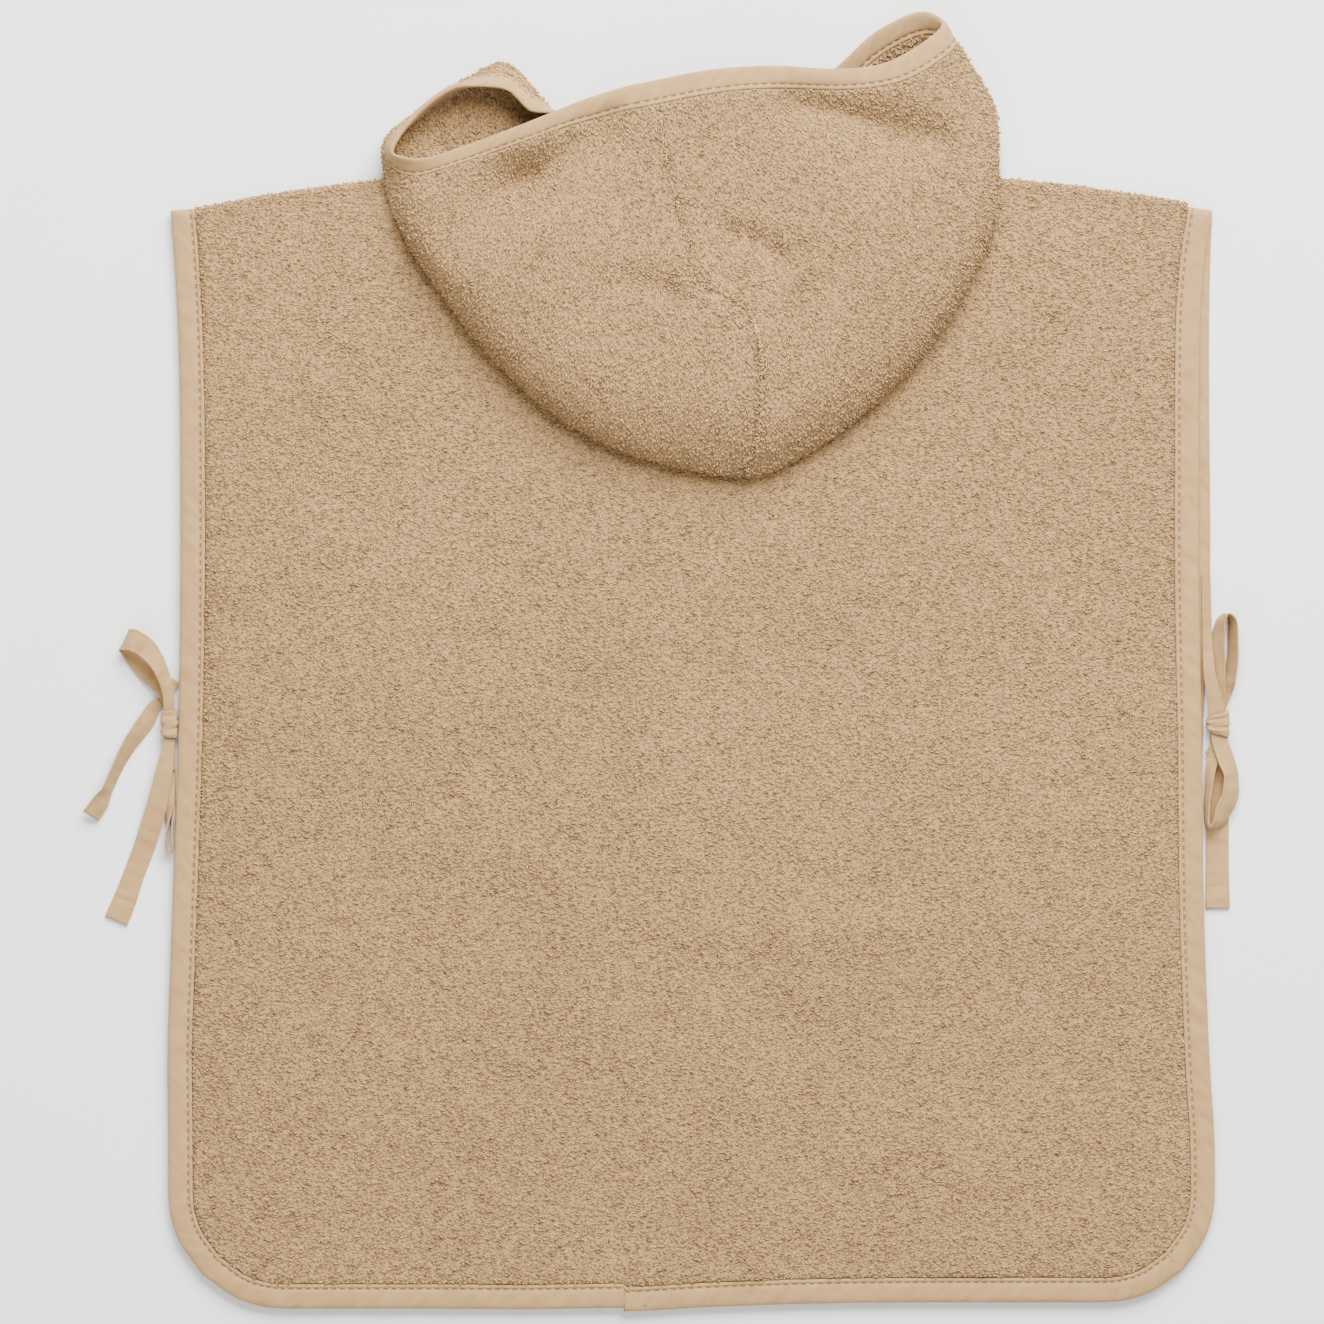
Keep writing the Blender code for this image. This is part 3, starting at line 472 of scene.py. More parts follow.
def outlineOf(cut, step, across=None):
    # outer edge of the tape: down the left side, along the hem, up the right side
    runs, fixed = [], bodyCut["topRows"]
    down, along, up = outlineRuns(cut["sides"], cut["hem"])
    count = int(alongOf(down)[-1] / step)
    for points, sideways in ((down, True), (along, False), (up, True)):
        length = alongOf(points)[-1]
        if sideways:
            places = [*fixed[:-1], *np.linspace(fixed[-1], length, count)]
        elif across:
            places = np.linspace(0, length, across)
        else:
            # more lines where the tape's two ends are joined
            middle = np.interp(joinCut["at"], [x for x, _ in points], alongOf(points))
            places = np.linspace(0, length, int(length / step))
            places = np.sort([*places, *(middle + np.array(joinCut["lines"]))])
        runs.append(smoothCurve(points, places))
    path = np.vstack((runs[0], runs[1][1:], runs[2][-2::-1]))
    return (stepped(path) if cut is panelCuts["back"] else path), len(runs[0]), len(runs[1])


def inward(path, distance):
    run = unit(np.gradient(path, axis=0))
    return path + distance * np.column_stack((-run[:, 1], run[:, 0]))


def panelGrid(edge, down, across, scoop):
    left = edge[:down].copy()
    hem = edge[down - 1:down + across - 1]
    right = edge[down + across - 2:][::-1].copy()
    top = np.array([(x, topLine(x, scoop) - bodyCut["shoulderRound"])
                    for x in np.linspace(left[0][0], right[0][0], across)])
    last = len(bodyCut["topRows"]) - 1
    for side, corner in ((left, top[0]), (right, top[-1])):
        side[:last] = corner + np.arange(last)[:, None] / last * (side[last] - corner)
    fall = alongOf(left)
    v = (fall / fall[-1])[:, None, None]
    u = np.linspace(0, 1, across)[None, :, None]
    return ((1 - u) * left[:, None] + u * right[:, None] + (1 - v) * top[None] + v * hem[None]
            - (1 - u) * ((1 - v) * top[0] + v * hem[0]) - u * ((1 - v) * top[-1] + v * hem[-1]))


tapeCut = {
    "width": 12.5, "wall": 1.0, "tucked": 7.5, "step": 2.2, "stitchAt": 9.95, "stitchPitch": 4.3,
    # share of its height at the shoulder, how far it dips, and how far from its fold it can wrinkle
    "leastSquash": 0.3, "dips": -0.12, "smoothTo": 0.5,
    # from the folded-in rim over the stitched groove to the tape's fold: distance, height
    "profile": [(12.35, 1.0), (12.3, 1.42), (12.05, 1.74), (11.5, 1.9), (10.9, 1.84), (10.4, 1.52),
                (9.95, 1.12), (9.5, 1.42), (8.9, 1.66), (7.5, 1.76), (5.5, 1.72), (3.5, 1.62),
                (2.0, 1.42), (1.0, 1.1), (0.4, 0.72), (0.1, 0.36), (0.0, 0.0)],
}
tapeTurn = tapeCut["profile"] + [(away, -height) for away, height in reversed(tapeCut["profile"][:-1])]
tapeAround = alongOf(tapeTurn)
stitchMark = tapeAround[[away for away, _ in tapeTurn].index(tapeCut["stitchAt"])]
finishes["tape"] = stitchedFinish(
    "bias tape", "tape", tapeAround[-1] / 2, stitchMark, tapeCut["stitchPitch"])

panelWaves = {
    # length, seed, height where the cloth is held down, more height where it is loose
    "ridges": (88, 3, 0.45, 0.6), "ripples": (26, 4, 0.14, 0.16),
    # the hood and the tape hold the cloth down
    "left": -226, "right": 255, "hem": -306, "fromTape": 34, "hoodAt": 110, "fromHood": 40,
}


def waved(lift, x, y):
    cut = panelWaves
    fromEdge = np.minimum(np.minimum(x - cut["left"], cut["right"] - x), y - cut["hem"])
    loose = np.clip((cut["hoodAt"] - y) / cut["fromHood"], 0, 1)
    loose = loose * np.clip(fromEdge / cut["fromTape"], 0, 1)
    length, seed, held, more = cut["ridges"]
    lift = lift + (held + more * loose) * np.maximum(slowWaves(x, y, length, seed), 0)
    length, seed, held, more = cut["ripples"]
    return lift + (held + more * loose) * (1 + slowWaves(x, y, length, seed))


def panel(name, side, node):
    cut, onTop = panelCuts[side], side == "back"
    base, terry, outward = cut["base"], bodyCut["terry"], bodyCut["shoulderRound"]
    path, down, across = outlineOf(cut, cut["step"], cut["across"])
    edge = inward(path, tapeCut["width"] + bodyCut["gap"] / 2)
    tucked = inward(path, tapeCut["tucked"])
    grid = panelGrid(edge, down, across, cut["scoop"])
    x, y = grid[..., 0], grid[..., 1]
    lift = reliefAt(cut["folds"], x, y)
    if onTop:
        lift = waved(lift, x, y)

    def rim(row, column):
        x, y = grid[row, column]
        rise = lift[row, column]
        if row == 0:
            # the round over the shoulder, the back panel's from above and the front one's from below
            turns = np.radians((84, 72, 60, 48, 36, 24, 12, 0) if onTop else (0, 20, 45, 70))
            level, height = (base + rise, terry) if onTop else (base + terry, -terry)
            return [(x, y + out, level + up)
                    for out, up in zip(outward * np.cos(turns), height * np.sin(turns))]
        if row < len(bodyCut["topRows"]) - 1:
            farX, farY = x + bodyCut["gap"] / 2 * (-1 if column == 0 else 1), y
        elif row == down - 1:
            farX, farY = tucked[row + column]
        else:
            farX, farY = tucked[row if column == 0 else 2 * down + across - 3 - row]
        # the tongue that is pressed inside the tape
        shares = np.linspace(0, 1, 4 if onTop else 2)
        level = base + terry / 2 + rise
        tongue = [(x + share * (farX - x), y + share * (farY - y)) for share in shares]
        return ([(*spot, level + bodyCut["pressed"]) for spot in tongue]
                + [(*spot, level - bodyCut["pressed"]) for spot in reversed(tongue)])

    upper, lower = (np.dstack((x, y, level + lift)) for level in (base + terry, base))
    piece = clothPiece(name, upper, lower, rim)
    return dress(piece, "terry", node), upper


tapeWrinkles = {
    # pitch, slant and height of each run of wrinkles
    "runs": ((6.7, 0.9, 0.22), (10.9, -0.7, 0.24), (17.3, 0.5, 0.28)),
    "drift": 2.2, "driftLength": 63, "strength": 0.5, "change": 0.6, "most": 1.2, "changeLength": 47,
    "middle": 6.0, "reach": 4.2,
}


def puckers(along, away, seed):
    # faint slanting wrinkles between the stitching and the tape's fold
    cut, height = tapeWrinkles, 0.0
    for turn, (pitch, slant, amount) in enumerate(cut["runs"]):
        drift = cut["drift"] * wavesAlong(along, cut["driftLength"], seed + turn)
        change = cut["change"] * wavesAlong(along, cut["changeLength"], seed + 10 + turn)
        strength = np.clip(cut["strength"] + change, 0, cut["most"])
        height = height + amount * strength * np.sin(2 * math.pi * (along + slant * away) / pitch + drift)
    return height * np.exp(-((away - cut["middle"]) / cut["reach"]) ** 2)


def overlap(path):
    # the doubled tape beside the join in the hem, and the groove at the join
    cut = joinCut
    away = np.where(path[:, 1] < cut["below"], path[:, 0] - cut["at"], 1e3)
    return (cut["doubled"] * np.exp(-((away - cut["doubledAt"]) / cut["doubledReach"]) ** 4)
            - cut["groove"] * np.exp(-(away / cut["grooveReach"]) ** 2))


def tapePiece(name, layers, along, node):
    # layers of columns, each a line along the tape
    outer, inner = (np.stack(layer, axis=1) for layer in layers)
    piece = clothPiece(name, outer, inner, spread=np.stack(np.meshgrid(tapeAround, along), axis=-1))
    return dress(piece, "tape", node)


def bodyTape(name, side, node, seed):
    cut, onTop, wall = panelCuts[side], side == "back", tapeCut["wall"]
    path, _, _ = outlineOf(cut, tapeCut["step"])
    along = alongOf(path)
    fromEnd = np.minimum(along, along[-1] - along)
    below = np.minimum(fromEnd / bodyCut["shoulderRound"], 1.0)
    squash = np.maximum(tapeCut["leastSquash"], np.sqrt(1 - (1 - below) ** 2))
    lip, half = tapeCut["profile"][0][0], bodyCut["terry"] / 2
    rimPath = inward(path, lip)
    lift = reliefAt(cut["folds"], rimPath[:, 0], rimPath[:, 1])
    doubled = overlap(path)
    outer, inner = [], []
    for away, height in tapeTurn:
        change = 0.0
        if abs(height) > tapeCut["smoothTo"]:
            change = math.copysign(1, height) * (puckers(along, away, seed) + doubled * (height > 0))
        for layer, distance, up in ((outer, away, height + change),
                                    (inner, wall + away * (1 - wall / lip), height * (1 - wall / half))):
            rise = np.maximum(half + up, tapeCut["dips"] if onTop else 0.0)
            rise = rise * squash if onTop else 2 * half - (2 * half - rise) * squash
            layer.append(np.column_stack((inward(path, distance), cut["base"] + rise + lift)))
    return tapePiece(name, (outer, inner), along, node), path, along, lift


frontPanel, _ = panel("frontPanel", "front", "front_panel")
backPanel, backUpper = panel("backPanel", "back", "back_panel")
frontTape, frontPath, frontAlong, frontLift = bodyTape("frontTape", "front", "front_tape", 60)
backTape, backPath, backAlong, backLift = bodyTape("backTape", "back", "back_tape", 20)
print("body made")

# hood: two terry halves with one seam, and the tape round its face edge

floorLevel, hoodLevel = 1.65, 8.6
hoodCut = {
    "halfRows": 62, "foldInset": 7.0, "mostInset": 0.4, "crownAt": 0.4, "leastCrown": 14.0,
    # by the height of the face edge: the share of the way to it where the upper side begins
    "overShare": ((21.0, 23.0, 25.0, 27.0), (0.15, 0.4, 0.4, 0.15)),
    # by the height of the crown: how far up the fold its outermost line lies
    "bellyShare": ((15.0, 27.0), (0.5, 0.33)),
    # at the centre seam: the gap, and the thickness at the seam and beside it
    "seamGap": 0.03, "atSeam": 0.96, "besideSeam": 1.04,
    # from the neck seam (0) over the fold (3) and the crown (5) to the tape (7)
    "lines": [*np.linspace(0, 1.8, 8), *np.linspace(2, 4, 17), *np.linspace(4.08, 6.9, 36)],
    # lines under the tape by their distance from the face edge, and the two that the terry reaches
    "faceLines": [12.65, *(away for away, _ in tapeCut["profile"])], "tuckedLines": (12.3, 8.9),
    # a row for each line of the hood: place and height of the neck seam, place and top of the fold,
    # height of the crown, place and height of the face edge
    "left": [
        (16.85, 214, floorLevel, 16.85, 226, floorLevel, floorLevel, 16.85, 246, floorLevel),
        (-10, 216, floorLevel, -12, 238, floorLevel, 2, -14, 259, 3.8),
        (-32, 219.2, floorLevel, -36, 255, 4.4, 7, -38, 269.5, 13.5),
        (-48, 222.8, floorLevel, -53, 270.5, 5.6, 8, -52, 273.5, 20.5),
        (-62, 227, floorLevel, -66, 286.5, 8.2, 10.4, -64, 274, 21),
        (-78, 232.4, floorLevel, -80, 298.3, 8.4, 10.5, -78, 285.4, 22),
        (-94, 239.2, floorLevel, -98, 289.5, 8.4, 10.5, -98.4, 287, 23),
        (-103, 248.5, 2.5, -119.8, 274.2, 8.8, 11, -119.9, 274.8, 25),
        (-109, 251.5, 7.4, -138.5, 256, 12.6, 15, -134.5, 253.8, 29),
        (-105, 245.6, hoodLevel, -135.6, 235.5, 15, 21, -121, 250.3, 29),
        (-92, 241, hoodLevel, -127, 213, 22, 27, -100, 256.3, 28),
        (-68, 238.7, hoodLevel, -110, 187, 24, 31, -68, 268, 29),
        (-42, 236.8, hoodLevel, -84, 153.5, 24, 33, -42, 278.5, 29.5),
        (-14, 235.4, hoodLevel, -38, 115.5, 23, 34, -20, 285.6, 30),
        (17, 235, hoodLevel, 43, 94, 19, 35, -3, 289.3, 30),
    ],
    "right": [
        (32, 235.2, hoodLevel, 68, 103.5, 20.5, 34.5, 16, 293.2, 29.5),
        (52, 235.6, hoodLevel, 97, 123, 22, 33, 32, 295.4, 29),
        (78, 237, hoodLevel, 129, 154, 24, 32, 57, 296.6, 27.5),
        (104, 239, hoodLevel, 152, 190, 24, 30, 84, 295.2, 26),
        (126, 241.5, hoodLevel, 165.5, 226, 22, 27, 107, 297, 25.5),
        (139, 246.5, 9.8, 166.5, 254, 19, 23, 124, 304.5, 25),
        (144, 251, 5.8, 161, 284, 13, 17, 139.5, 318, 22),
        (138, 248, 2.8, 138, 298, 6, 9, 129.5, 324.2, 18),
        (124, 239, floorLevel, 112, 290, 4, 6, 106, 314, 13),
        (106, 231, floorLevel, 94, 276, 3.2, 4.5, 90, 299.5, 9),
        (75, 222, floorLevel, 66, 254, 2.2, 2.8, 61, 276, 5),
        (44, 216.6, floorLevel, 40, 232, floorLevel, 2, 37, 255, 3),
        (17.15, 214, floorLevel, 17.15, 226, floorLevel, floorLevel, 17.15, 246, floorLevel),
    ],
    # where the centre seam runs on the hood's upper side
    "seamReach": 42,
    "seam": [(43, 94), (46, 101), (49, 116), (50, 146), (47, 166), (43, 175), (33, 182), (20, 188),
             (16.5, 195), (12.5, 211), (5, 237), (1.5, 254.5), (-1, 272), (-3, 289.3)],
    "folds": [
        (66, 279, 138, 256, 17, -10, 3), (-28, 266, -70, 240, 15, -8, 3),
        (-70, 240, -106, 206, 18, -10, 3), (-96, 178, -30, 210, 20, 3.4, 4),
        (36, 211, 60, 200, 12, -6, 2), (-10, 189, 10, 184, 11, -3.8, 2),
        (26, 182, 44, 160, 11, 3.6, 1), (71, 184, 57, 134, 10, -7.5, 3), (25, 158, 27, 112, 6, 2.4, 2),
        (48, 160, 48, 106, 6, 2.6, 1), (86, 172, 76, 130, 13, 3.4, 3), (-14, 116, 28, 106, 12, -6, 2),
        (110, 220, 120, 170, 18, 2.6, 5), (-50, 226, -84, 196, 9, 2.2, 4),
    ],
}
# the grid line from which the pile shows, half way round the underside of the fold, and the last
# line before the tape
foldLine, lipLine = 12, len(hoodCut["lines"])
seamRow = hoodCut["halfRows"] - 1


def hoodSection(row):
    cut = hoodCut
    neck, fold, edge, rim = row[:2], row[3:5], row[7:9], row[7:]
    level, foldTop, crown, width = max(row[2], floorLevel), row[5], row[6], tapeCut["width"]
    reach, back = np.linalg.norm(fold - neck), np.linalg.norm(edge - fold)
    under = fold + (neck - fold) * min(cut["foldInset"] / reach, cut["mostInset"])
    share = np.interp(rim[2], *cut["overShare"])
    over = fold + (edge - fold) * min(cut["foldInset"] / back, share)
    peak = np.array((*(fold + cut["crownAt"] * (edge - fold)), crown))
    # a full hood sags over its fold
    belly = level + np.interp(crown, *cut["bellyShare"]) * (foldTop - level)
    over = np.array((*over, foldTop))
    # where there's little room beside the tape, the cloth runs straight to it
    room = min(max(np.linalg.norm(rim - peak) / width - 1.1, 0.0), 1.0)
    taped = unit(rim - room * peak - (1 - room) * over)
    stitched = rim - width * taped
    peak = room * peak + (1 - room) * (over + (stitched - over) / 3)
    brow = (peak + stitched) / 2
    return np.array([(*neck, level), (*((neck + fold) / 2), level), (*under, level),
                     (*fold, belly), over, peak, brow, stitched, rim])


def hoodSteps():
    face = [8 - away / tapeCut["width"] for away in hoodCut["faceLines"]]
    return np.array([*hoodCut["lines"], *face])


def hoodSections():
    table = hoodCut["left"] + hoodCut["right"]
    knots = alongOf(table)
    seam, last, count = len(hoodCut["left"]) - 1, len(table) - 1, hoodCut["halfRows"]
    order = [*np.linspace(0, seam, count), *np.linspace(seam, last, count)[1:]]
    rows = smoothCurve(table, np.interp(order, range(last + 1), knots))
    grid = []
    for row in rows:
        points = hoodSection(row)
        marks = alongOf(points)
        lines = [*np.interp(hoodCut["lines"], range(len(points)), marks),
                 *(marks[-1] - away for away in hoodCut["faceLines"])]
        grid.append(smoothCurve(points, lines))
    return rows, np.array(grid)


def followSeam(grid):
    # the cloth near the centre seam goes sideways with it
    course = np.array(hoodCut["seam"], float)
    ahead = hoodSteps() > 4
    line = grid[seamRow]
    aside = np.where(ahead, np.interp(line[:, 1], course[:, 1], course[:, 0]) - line[:, 0], 0.0)
    spacing = np.linalg.norm(np.diff(grid, axis=0), axis=-1)
    along = np.vstack((0 * spacing[:1], np.cumsum(spacing, axis=0)))
    away = (along - along[seamRow]) / hoodCut["seamReach"]
    grid[..., 0] += aside * np.exp(-away ** 2)


def hoodGrid():
    rows, grid = hoodSections()
    followSeam(grid)
    steps = hoodSteps()
    arch = np.where(steps > 4, np.sin(math.pi * np.clip(steps - 4, 0, 4) / 4), 0.0)
    least = hoodCut["leastCrown"]
    puffed = np.clip((rows[:, 6:7] - least) / least, 0.0, 1.0)
    grid[..., 2] += puffed * arch * reliefAt(hoodCut["folds"], grid[..., 0], grid[..., 1])
    grid[..., 2] = np.maximum(grid[..., 2], np.maximum(rows[:, 2:3], floorLevel))
    normals = unit(np.cross(np.gradient(grid, axis=1), np.gradient(grid, axis=0)))
    for axis in 3 * (0, 1):
        normals = unit(evened(normals, axis))
    normals[:, lipLine:] = unit(normals[:, lipLine:].mean(axis=1, keepdims=True))
    return grid, normals


hoodMiddle, hoodNormals = hoodGrid()


def hoodHalf(name, rows, node):
    grid, normals = hoodMiddle[rows].copy(), hoodNormals[rows]
    half, terryLines = bodyCut["terry"] / 2, lipLine + 1
    end, beside = (-1, -2) if name == "hoodLeft" else (0, 1)
    grid[end] += hoodCut["seamGap"] * unit(grid[beside] - grid[end])
    thickness = np.full(grid.shape[:2], half)
    thickness[end] = half * hoodCut["atSeam"]
    thickness[beside] = half * hoodCut["besideSeam"]
    thickness[:, terryLines:] = bodyCut["pressed"]
    tucked = [lipLine + hoodCut["faceLines"].index(away) for away in hoodCut["tuckedLines"]]
    # the normals point to the side that lies against the head
    layers = [(grid + side * thickness[..., None] * normals)[:, [*range(terryLines), *tucked]]
              for side in (-1, 1)]
    piece = dress(clothPiece(name, *layers), "hoodTerry", node)
    return piece, layers[0][:, :terryLines], layers[1][:, :terryLines]


def hoodTapeWall():
    face, wall = hoodCut["faceLines"], tapeCut["wall"]
    lip, half = tapeTurn[0][0], bodyCut["terry"] / 2
    along = alongOf(hoodMiddle[:, -1])
    outer, inner = [], []
    for away, height in tapeTurn:
        change = 0.0 * along
        if abs(height) > tapeCut["smoothTo"]:
            change = math.copysign(1, height) * puckers(along, away, 90)
        column = lipLine + face.index(away)
        outer.append(hoodMiddle[:, column] + (height + change)[:, None] * hoodNormals[:, column])
        deep = wall + away * (1 - wall / lip)
        spot = np.array([[np.interp(deep, face[::-1], row[lipLine:, axis][::-1]) for axis in range(3)]
                         for row in hoodMiddle])
        inner.append(spot + height * (1 - wall / half) * hoodNormals[:, column])
    return tapePiece("hoodTape", (outer, inner), along, "hood_tape"), along


hoodLeft, leftOutside, leftInside = hoodHalf("hoodLeft", slice(0, seamRow + 1), "hood_left")
hoodRight, rightOutside, rightInside = hoodHalf("hoodRight", slice(seamRow, None), "hood_right")
hoodTape, hoodTapeAlong = hoodTapeWall()
print("hood made")

# ties: folded tape, tied in a bow at each side

tieCut = {
    "wall": 1.0, "stations": 250, "flatWidth": 10.5, "lip": 0.004, "floor": 0.05,
    # the free end is folded in and sewn: it is thicker there, with a groove where the hem begins
    "hem": 10.5, "hemRise": 0.4, "hemEdge": 0.9, "groove": 0.45, "grooveAt": -0.6, "grooveReach": 0.8,
    # ripples along the tape, larger near the knot
    "ripple": 0.1, "knotRipple": 0.4, "nearKnot": 17.0, "pitch": 2.9, "rippleShare": 0.6,
    "driftLength": 31, "driftSeed": 8,
    # middle line, width, and the direction of the width: heading and rise in degrees
    "leftBack": [
        (-244.5, -54.5, 4.6, 4.4, 48, 0), (-246, -51.6, 4.4, 4.4, 28, 0),
        (-246.2, -45, 4.3, 4.8, 4, 0), (-246.1, -31, 4.3, 5.2, 0, 0),
        (-246.2, -23.4, 4.3, 5.2, 4, 0), (-251.4, -11.6, 3.6, 8, 44, 0),
        (-257.3, -5, 2, 9.6, 51, 0), (-262.2, 1.4, 1.6, 10.6, 55, 0),
        (-266, 7.6, 1.6, 11.2, 62, 0), (-268.2, 10.6, 4.6, 11.6, 66, 0),
        (-265.4, 11.2, 8.4, 11.4, 60, 0), (-259.8, 8.6, 9.4, 10.8, 50, 0),
        (-253.8, 2.6, 9.2, 9.6, 40, -26), (-249.4, -5.6, 8.6, 9, 30, -44),
        (-246.6, -15.5, 7.2, 6.4, 14, -24), (-246.1, -31, 5.7, 5.2, 0, 0),
        (-246.2, -41, 5.9, 5.8, -4, 0), (-248.4, -53.3, 6.2, 8.4, -9, -6),
        (-251.2, -67, 5.4, 9.8, -14, -4), (-255.3, -81.5, 3.6, 10.5, -17, 0),
        (-260, -95.8, 1.6, 10.5, -19, 0), (-264.3, -107, 1.1, 10.5, -21, 0),
        (-268.4, -118.6, 1.1, 11.6, -23, 0), (-272.9, -129.4, 1.1, 12.2, -25, 0),
    ],
    "leftFront": [
        (-242.7, -9.6, 1.9, 4.6, -70, 0), (-245, -12.4, 2.3, 4.6, -40, 0),
        (-246.1, -18.5, 3, 4.8, -6, 0), (-246.1, -31, 3.1, 5.2, 0, 0),
        (-245.9, -44, 3.1, 5, 0, 0), (-245.7, -60, 3.3, 4.8, 0, 4),
        (-246.6, -74, 4.2, 6, 0, 50), (-247.5, -84, 4.3, 6.8, 0, 88),
        (-247.9, -92.4, 4.3, 6.8, 0, 90), (-246.2, -95.4, 4.3, 6.8, 0, 90),
        (-244.5, -92.4, 4.3, 6.8, 0, 90), (-244.8, -84, 4.1, 6.6, 0, 88),
        (-245.3, -74, 2.5, 5.4, 0, 50), (-245.6, -60, 1.8, 4.8, 0, 4),
        (-245.9, -44, 1.8, 5, 0, 0), (-246.1, -31, 1.8, 5.2, 0, 0),
        (-246.6, -23, 1.8, 4.4, 8, 0), (-249, -19.6, 1.6, 4.4, 62, 0),
        (-252.9, -21.8, 2, 6.2, 116, 6), (-258, -30, 3, 9, 134, 24),
        (-264.2, -38.6, 4, 9.6, 142, 40), (-269.6, -47.6, 4.6, 9.4, 148, 52),
        (-273.8, -56.4, 4.8, 9.2, 152, 58), (-277.2, -64, 4.8, 8.8, 152, 56),
        (-280, -69, 4.6, 9.6, 148, 34), (-285.4, -77, 4.2, 10.2, 146, 28),
    ],
    "rightBack": [
        (272.2, -46.4, 3.2, 4, -60, 0), (275, -44, 3.2, 4.4, -36, 0),
        (277.2, -38.6, 3.1, 6, -6, 0), (277.6, -31, 3.1, 7.8, 0, 0),
        (277.6, -21, 3.2, 8.2, 0, 2), (277.2, -8, 4.8, 9.6, 0, 28),
        (277.2, 6, 5.7, 10.6, 0, 46), (278.4, 16, 5.9, 11, 0, 60),
        (279.8, 21.6, 6, 11, 0, 70), (282.2, 23.8, 6, 11, 0, 74),
        (284.4, 21.6, 6, 11, 0, 70), (285.2, 16, 6, 11, 0, 66),
        (285.2, 5, 5.8, 10.6, 0, 62), (283.6, -7, 4.6, 9.2, 0, 48),
        (280.8, -15.6, 2.2, 7.8, 0, 12), (277.9, -23.8, 1.8, 7.4, 0, 0),
        (277.6, -40, 1.8, 7.6, 0, 0), (277.6, -60, 1.1, 11, 0, 0),
        (277.6, -80, 1.1, 11.4, 0, 0), (277.6, -100, 1.1, 11.4, 0, 0),
        (277.8, -123.2, 1.1, 12.2, 0, 0),
    ],
    "rightFront": [
        (271.8, 44, 4.2, 4.4, 0, 0), (272.1, 24, 4.3, 4.6, 0, 0),
        (272.6, 8, 4.9, 5, 0, 0), (273.4, -6, 7.6, 6, 0, 0),
        (276.2, -20, 7, 7.4, 0, 0), (277.6, -31, 5.7, 7.8, 0, 0),
        (278.6, -39.5, 6.1, 8, 2, -4), (281.6, -48.5, 6.8, 8.8, -4, -16),
        (284.2, -57.5, 7.2, 9.6, -16, -38), (283.9, -65.6, 7.4, 10.4, -40, -32),
        (280.4, -74, 7.4, 10.4, -54, -34), (276.9, -81.2, 7, 9, -78, -56),
        (273.6, -83.4, 6.4, 7.2, -112, -72), (272, -79, 6, 6.8, -150, -72),
        (272.1, -71, 5.8, 6.6, -172, -68), (273, -63, 5.6, 6.4, -180, -60),
        (274, -54, 5.2, 5.8, -180, -34), (275.8, -46, 4.8, 5.6, -180, -8),
        (277, -39.5, 4.5, 5.8, -180, 0), (277.6, -31, 4.4, 6.8, -180, 0),
        (277.6, -27, 4.5, 6.8, -180, 0),
    ],
    # across the folded tape: place from edge to edge, half thickness
    "profile": [(-1.0, 0.0), (-0.985, 0.26), (-0.93, 0.44), (-0.84, 0.5), (-0.74, 0.31), (-0.62, 0.48),
                (-0.2, 0.5), (0.2, 0.5), (0.62, 0.48), (0.74, 0.31), (0.84, 0.5), (0.93, 0.44),
                (0.985, 0.26), (1.0, 0.0)],
}


knotCut = {
    "floor": 0.1, "height": 8.4, "turns": 72, "lines": 33,
    # how square the turn is across, how much its ends draw in, and its thickness in wrinkles
    "squareness": 0.55, "drawnIn": 0.55, "ridge": 0.3, "ridgeTurn": 1.1, "fine": 0.16, "finePitch": 1.7,
    "fineTurn": 0.4, "thin": 0.4, "thick": 1.35,
    # the band is pinched by this share on one side and its ends run at a slant
    "left": {"centre": (-246.1, -31.0), "inside": 3.2, "length": 15.0, "pinch": 0.3, "pinchAt": 0.0,
             "slant": 1.6, "wrinkles": 2.1},
    "right": {"centre": (277.6, -31.0), "inside": 4.8, "length": 12.0, "pinch": 0.42,
              "pinchAt": math.pi, "slant": 0.9, "wrinkles": 2.6},
}


def tieFrames(rows):
    length = alongOf(rows, 3)[-1]
    stations = smoothCurve(rows, np.linspace(0, length, tieCut["stations"]), 3)
    middle, width = stations[:, :3], stations[:, 3]
    heading, rise = np.radians(stations[:, 4]), np.radians(stations[:, 5])
    run = unit(np.gradient(middle, axis=0))
    across = np.column_stack((np.cos(rise) * np.cos(heading), np.cos(rise) * np.sin(heading),
                              np.sin(rise)))
    across = unit(across - run * np.sum(across * run, axis=1, keepdims=True))
    return middle, width, across, np.cross(run, across), length


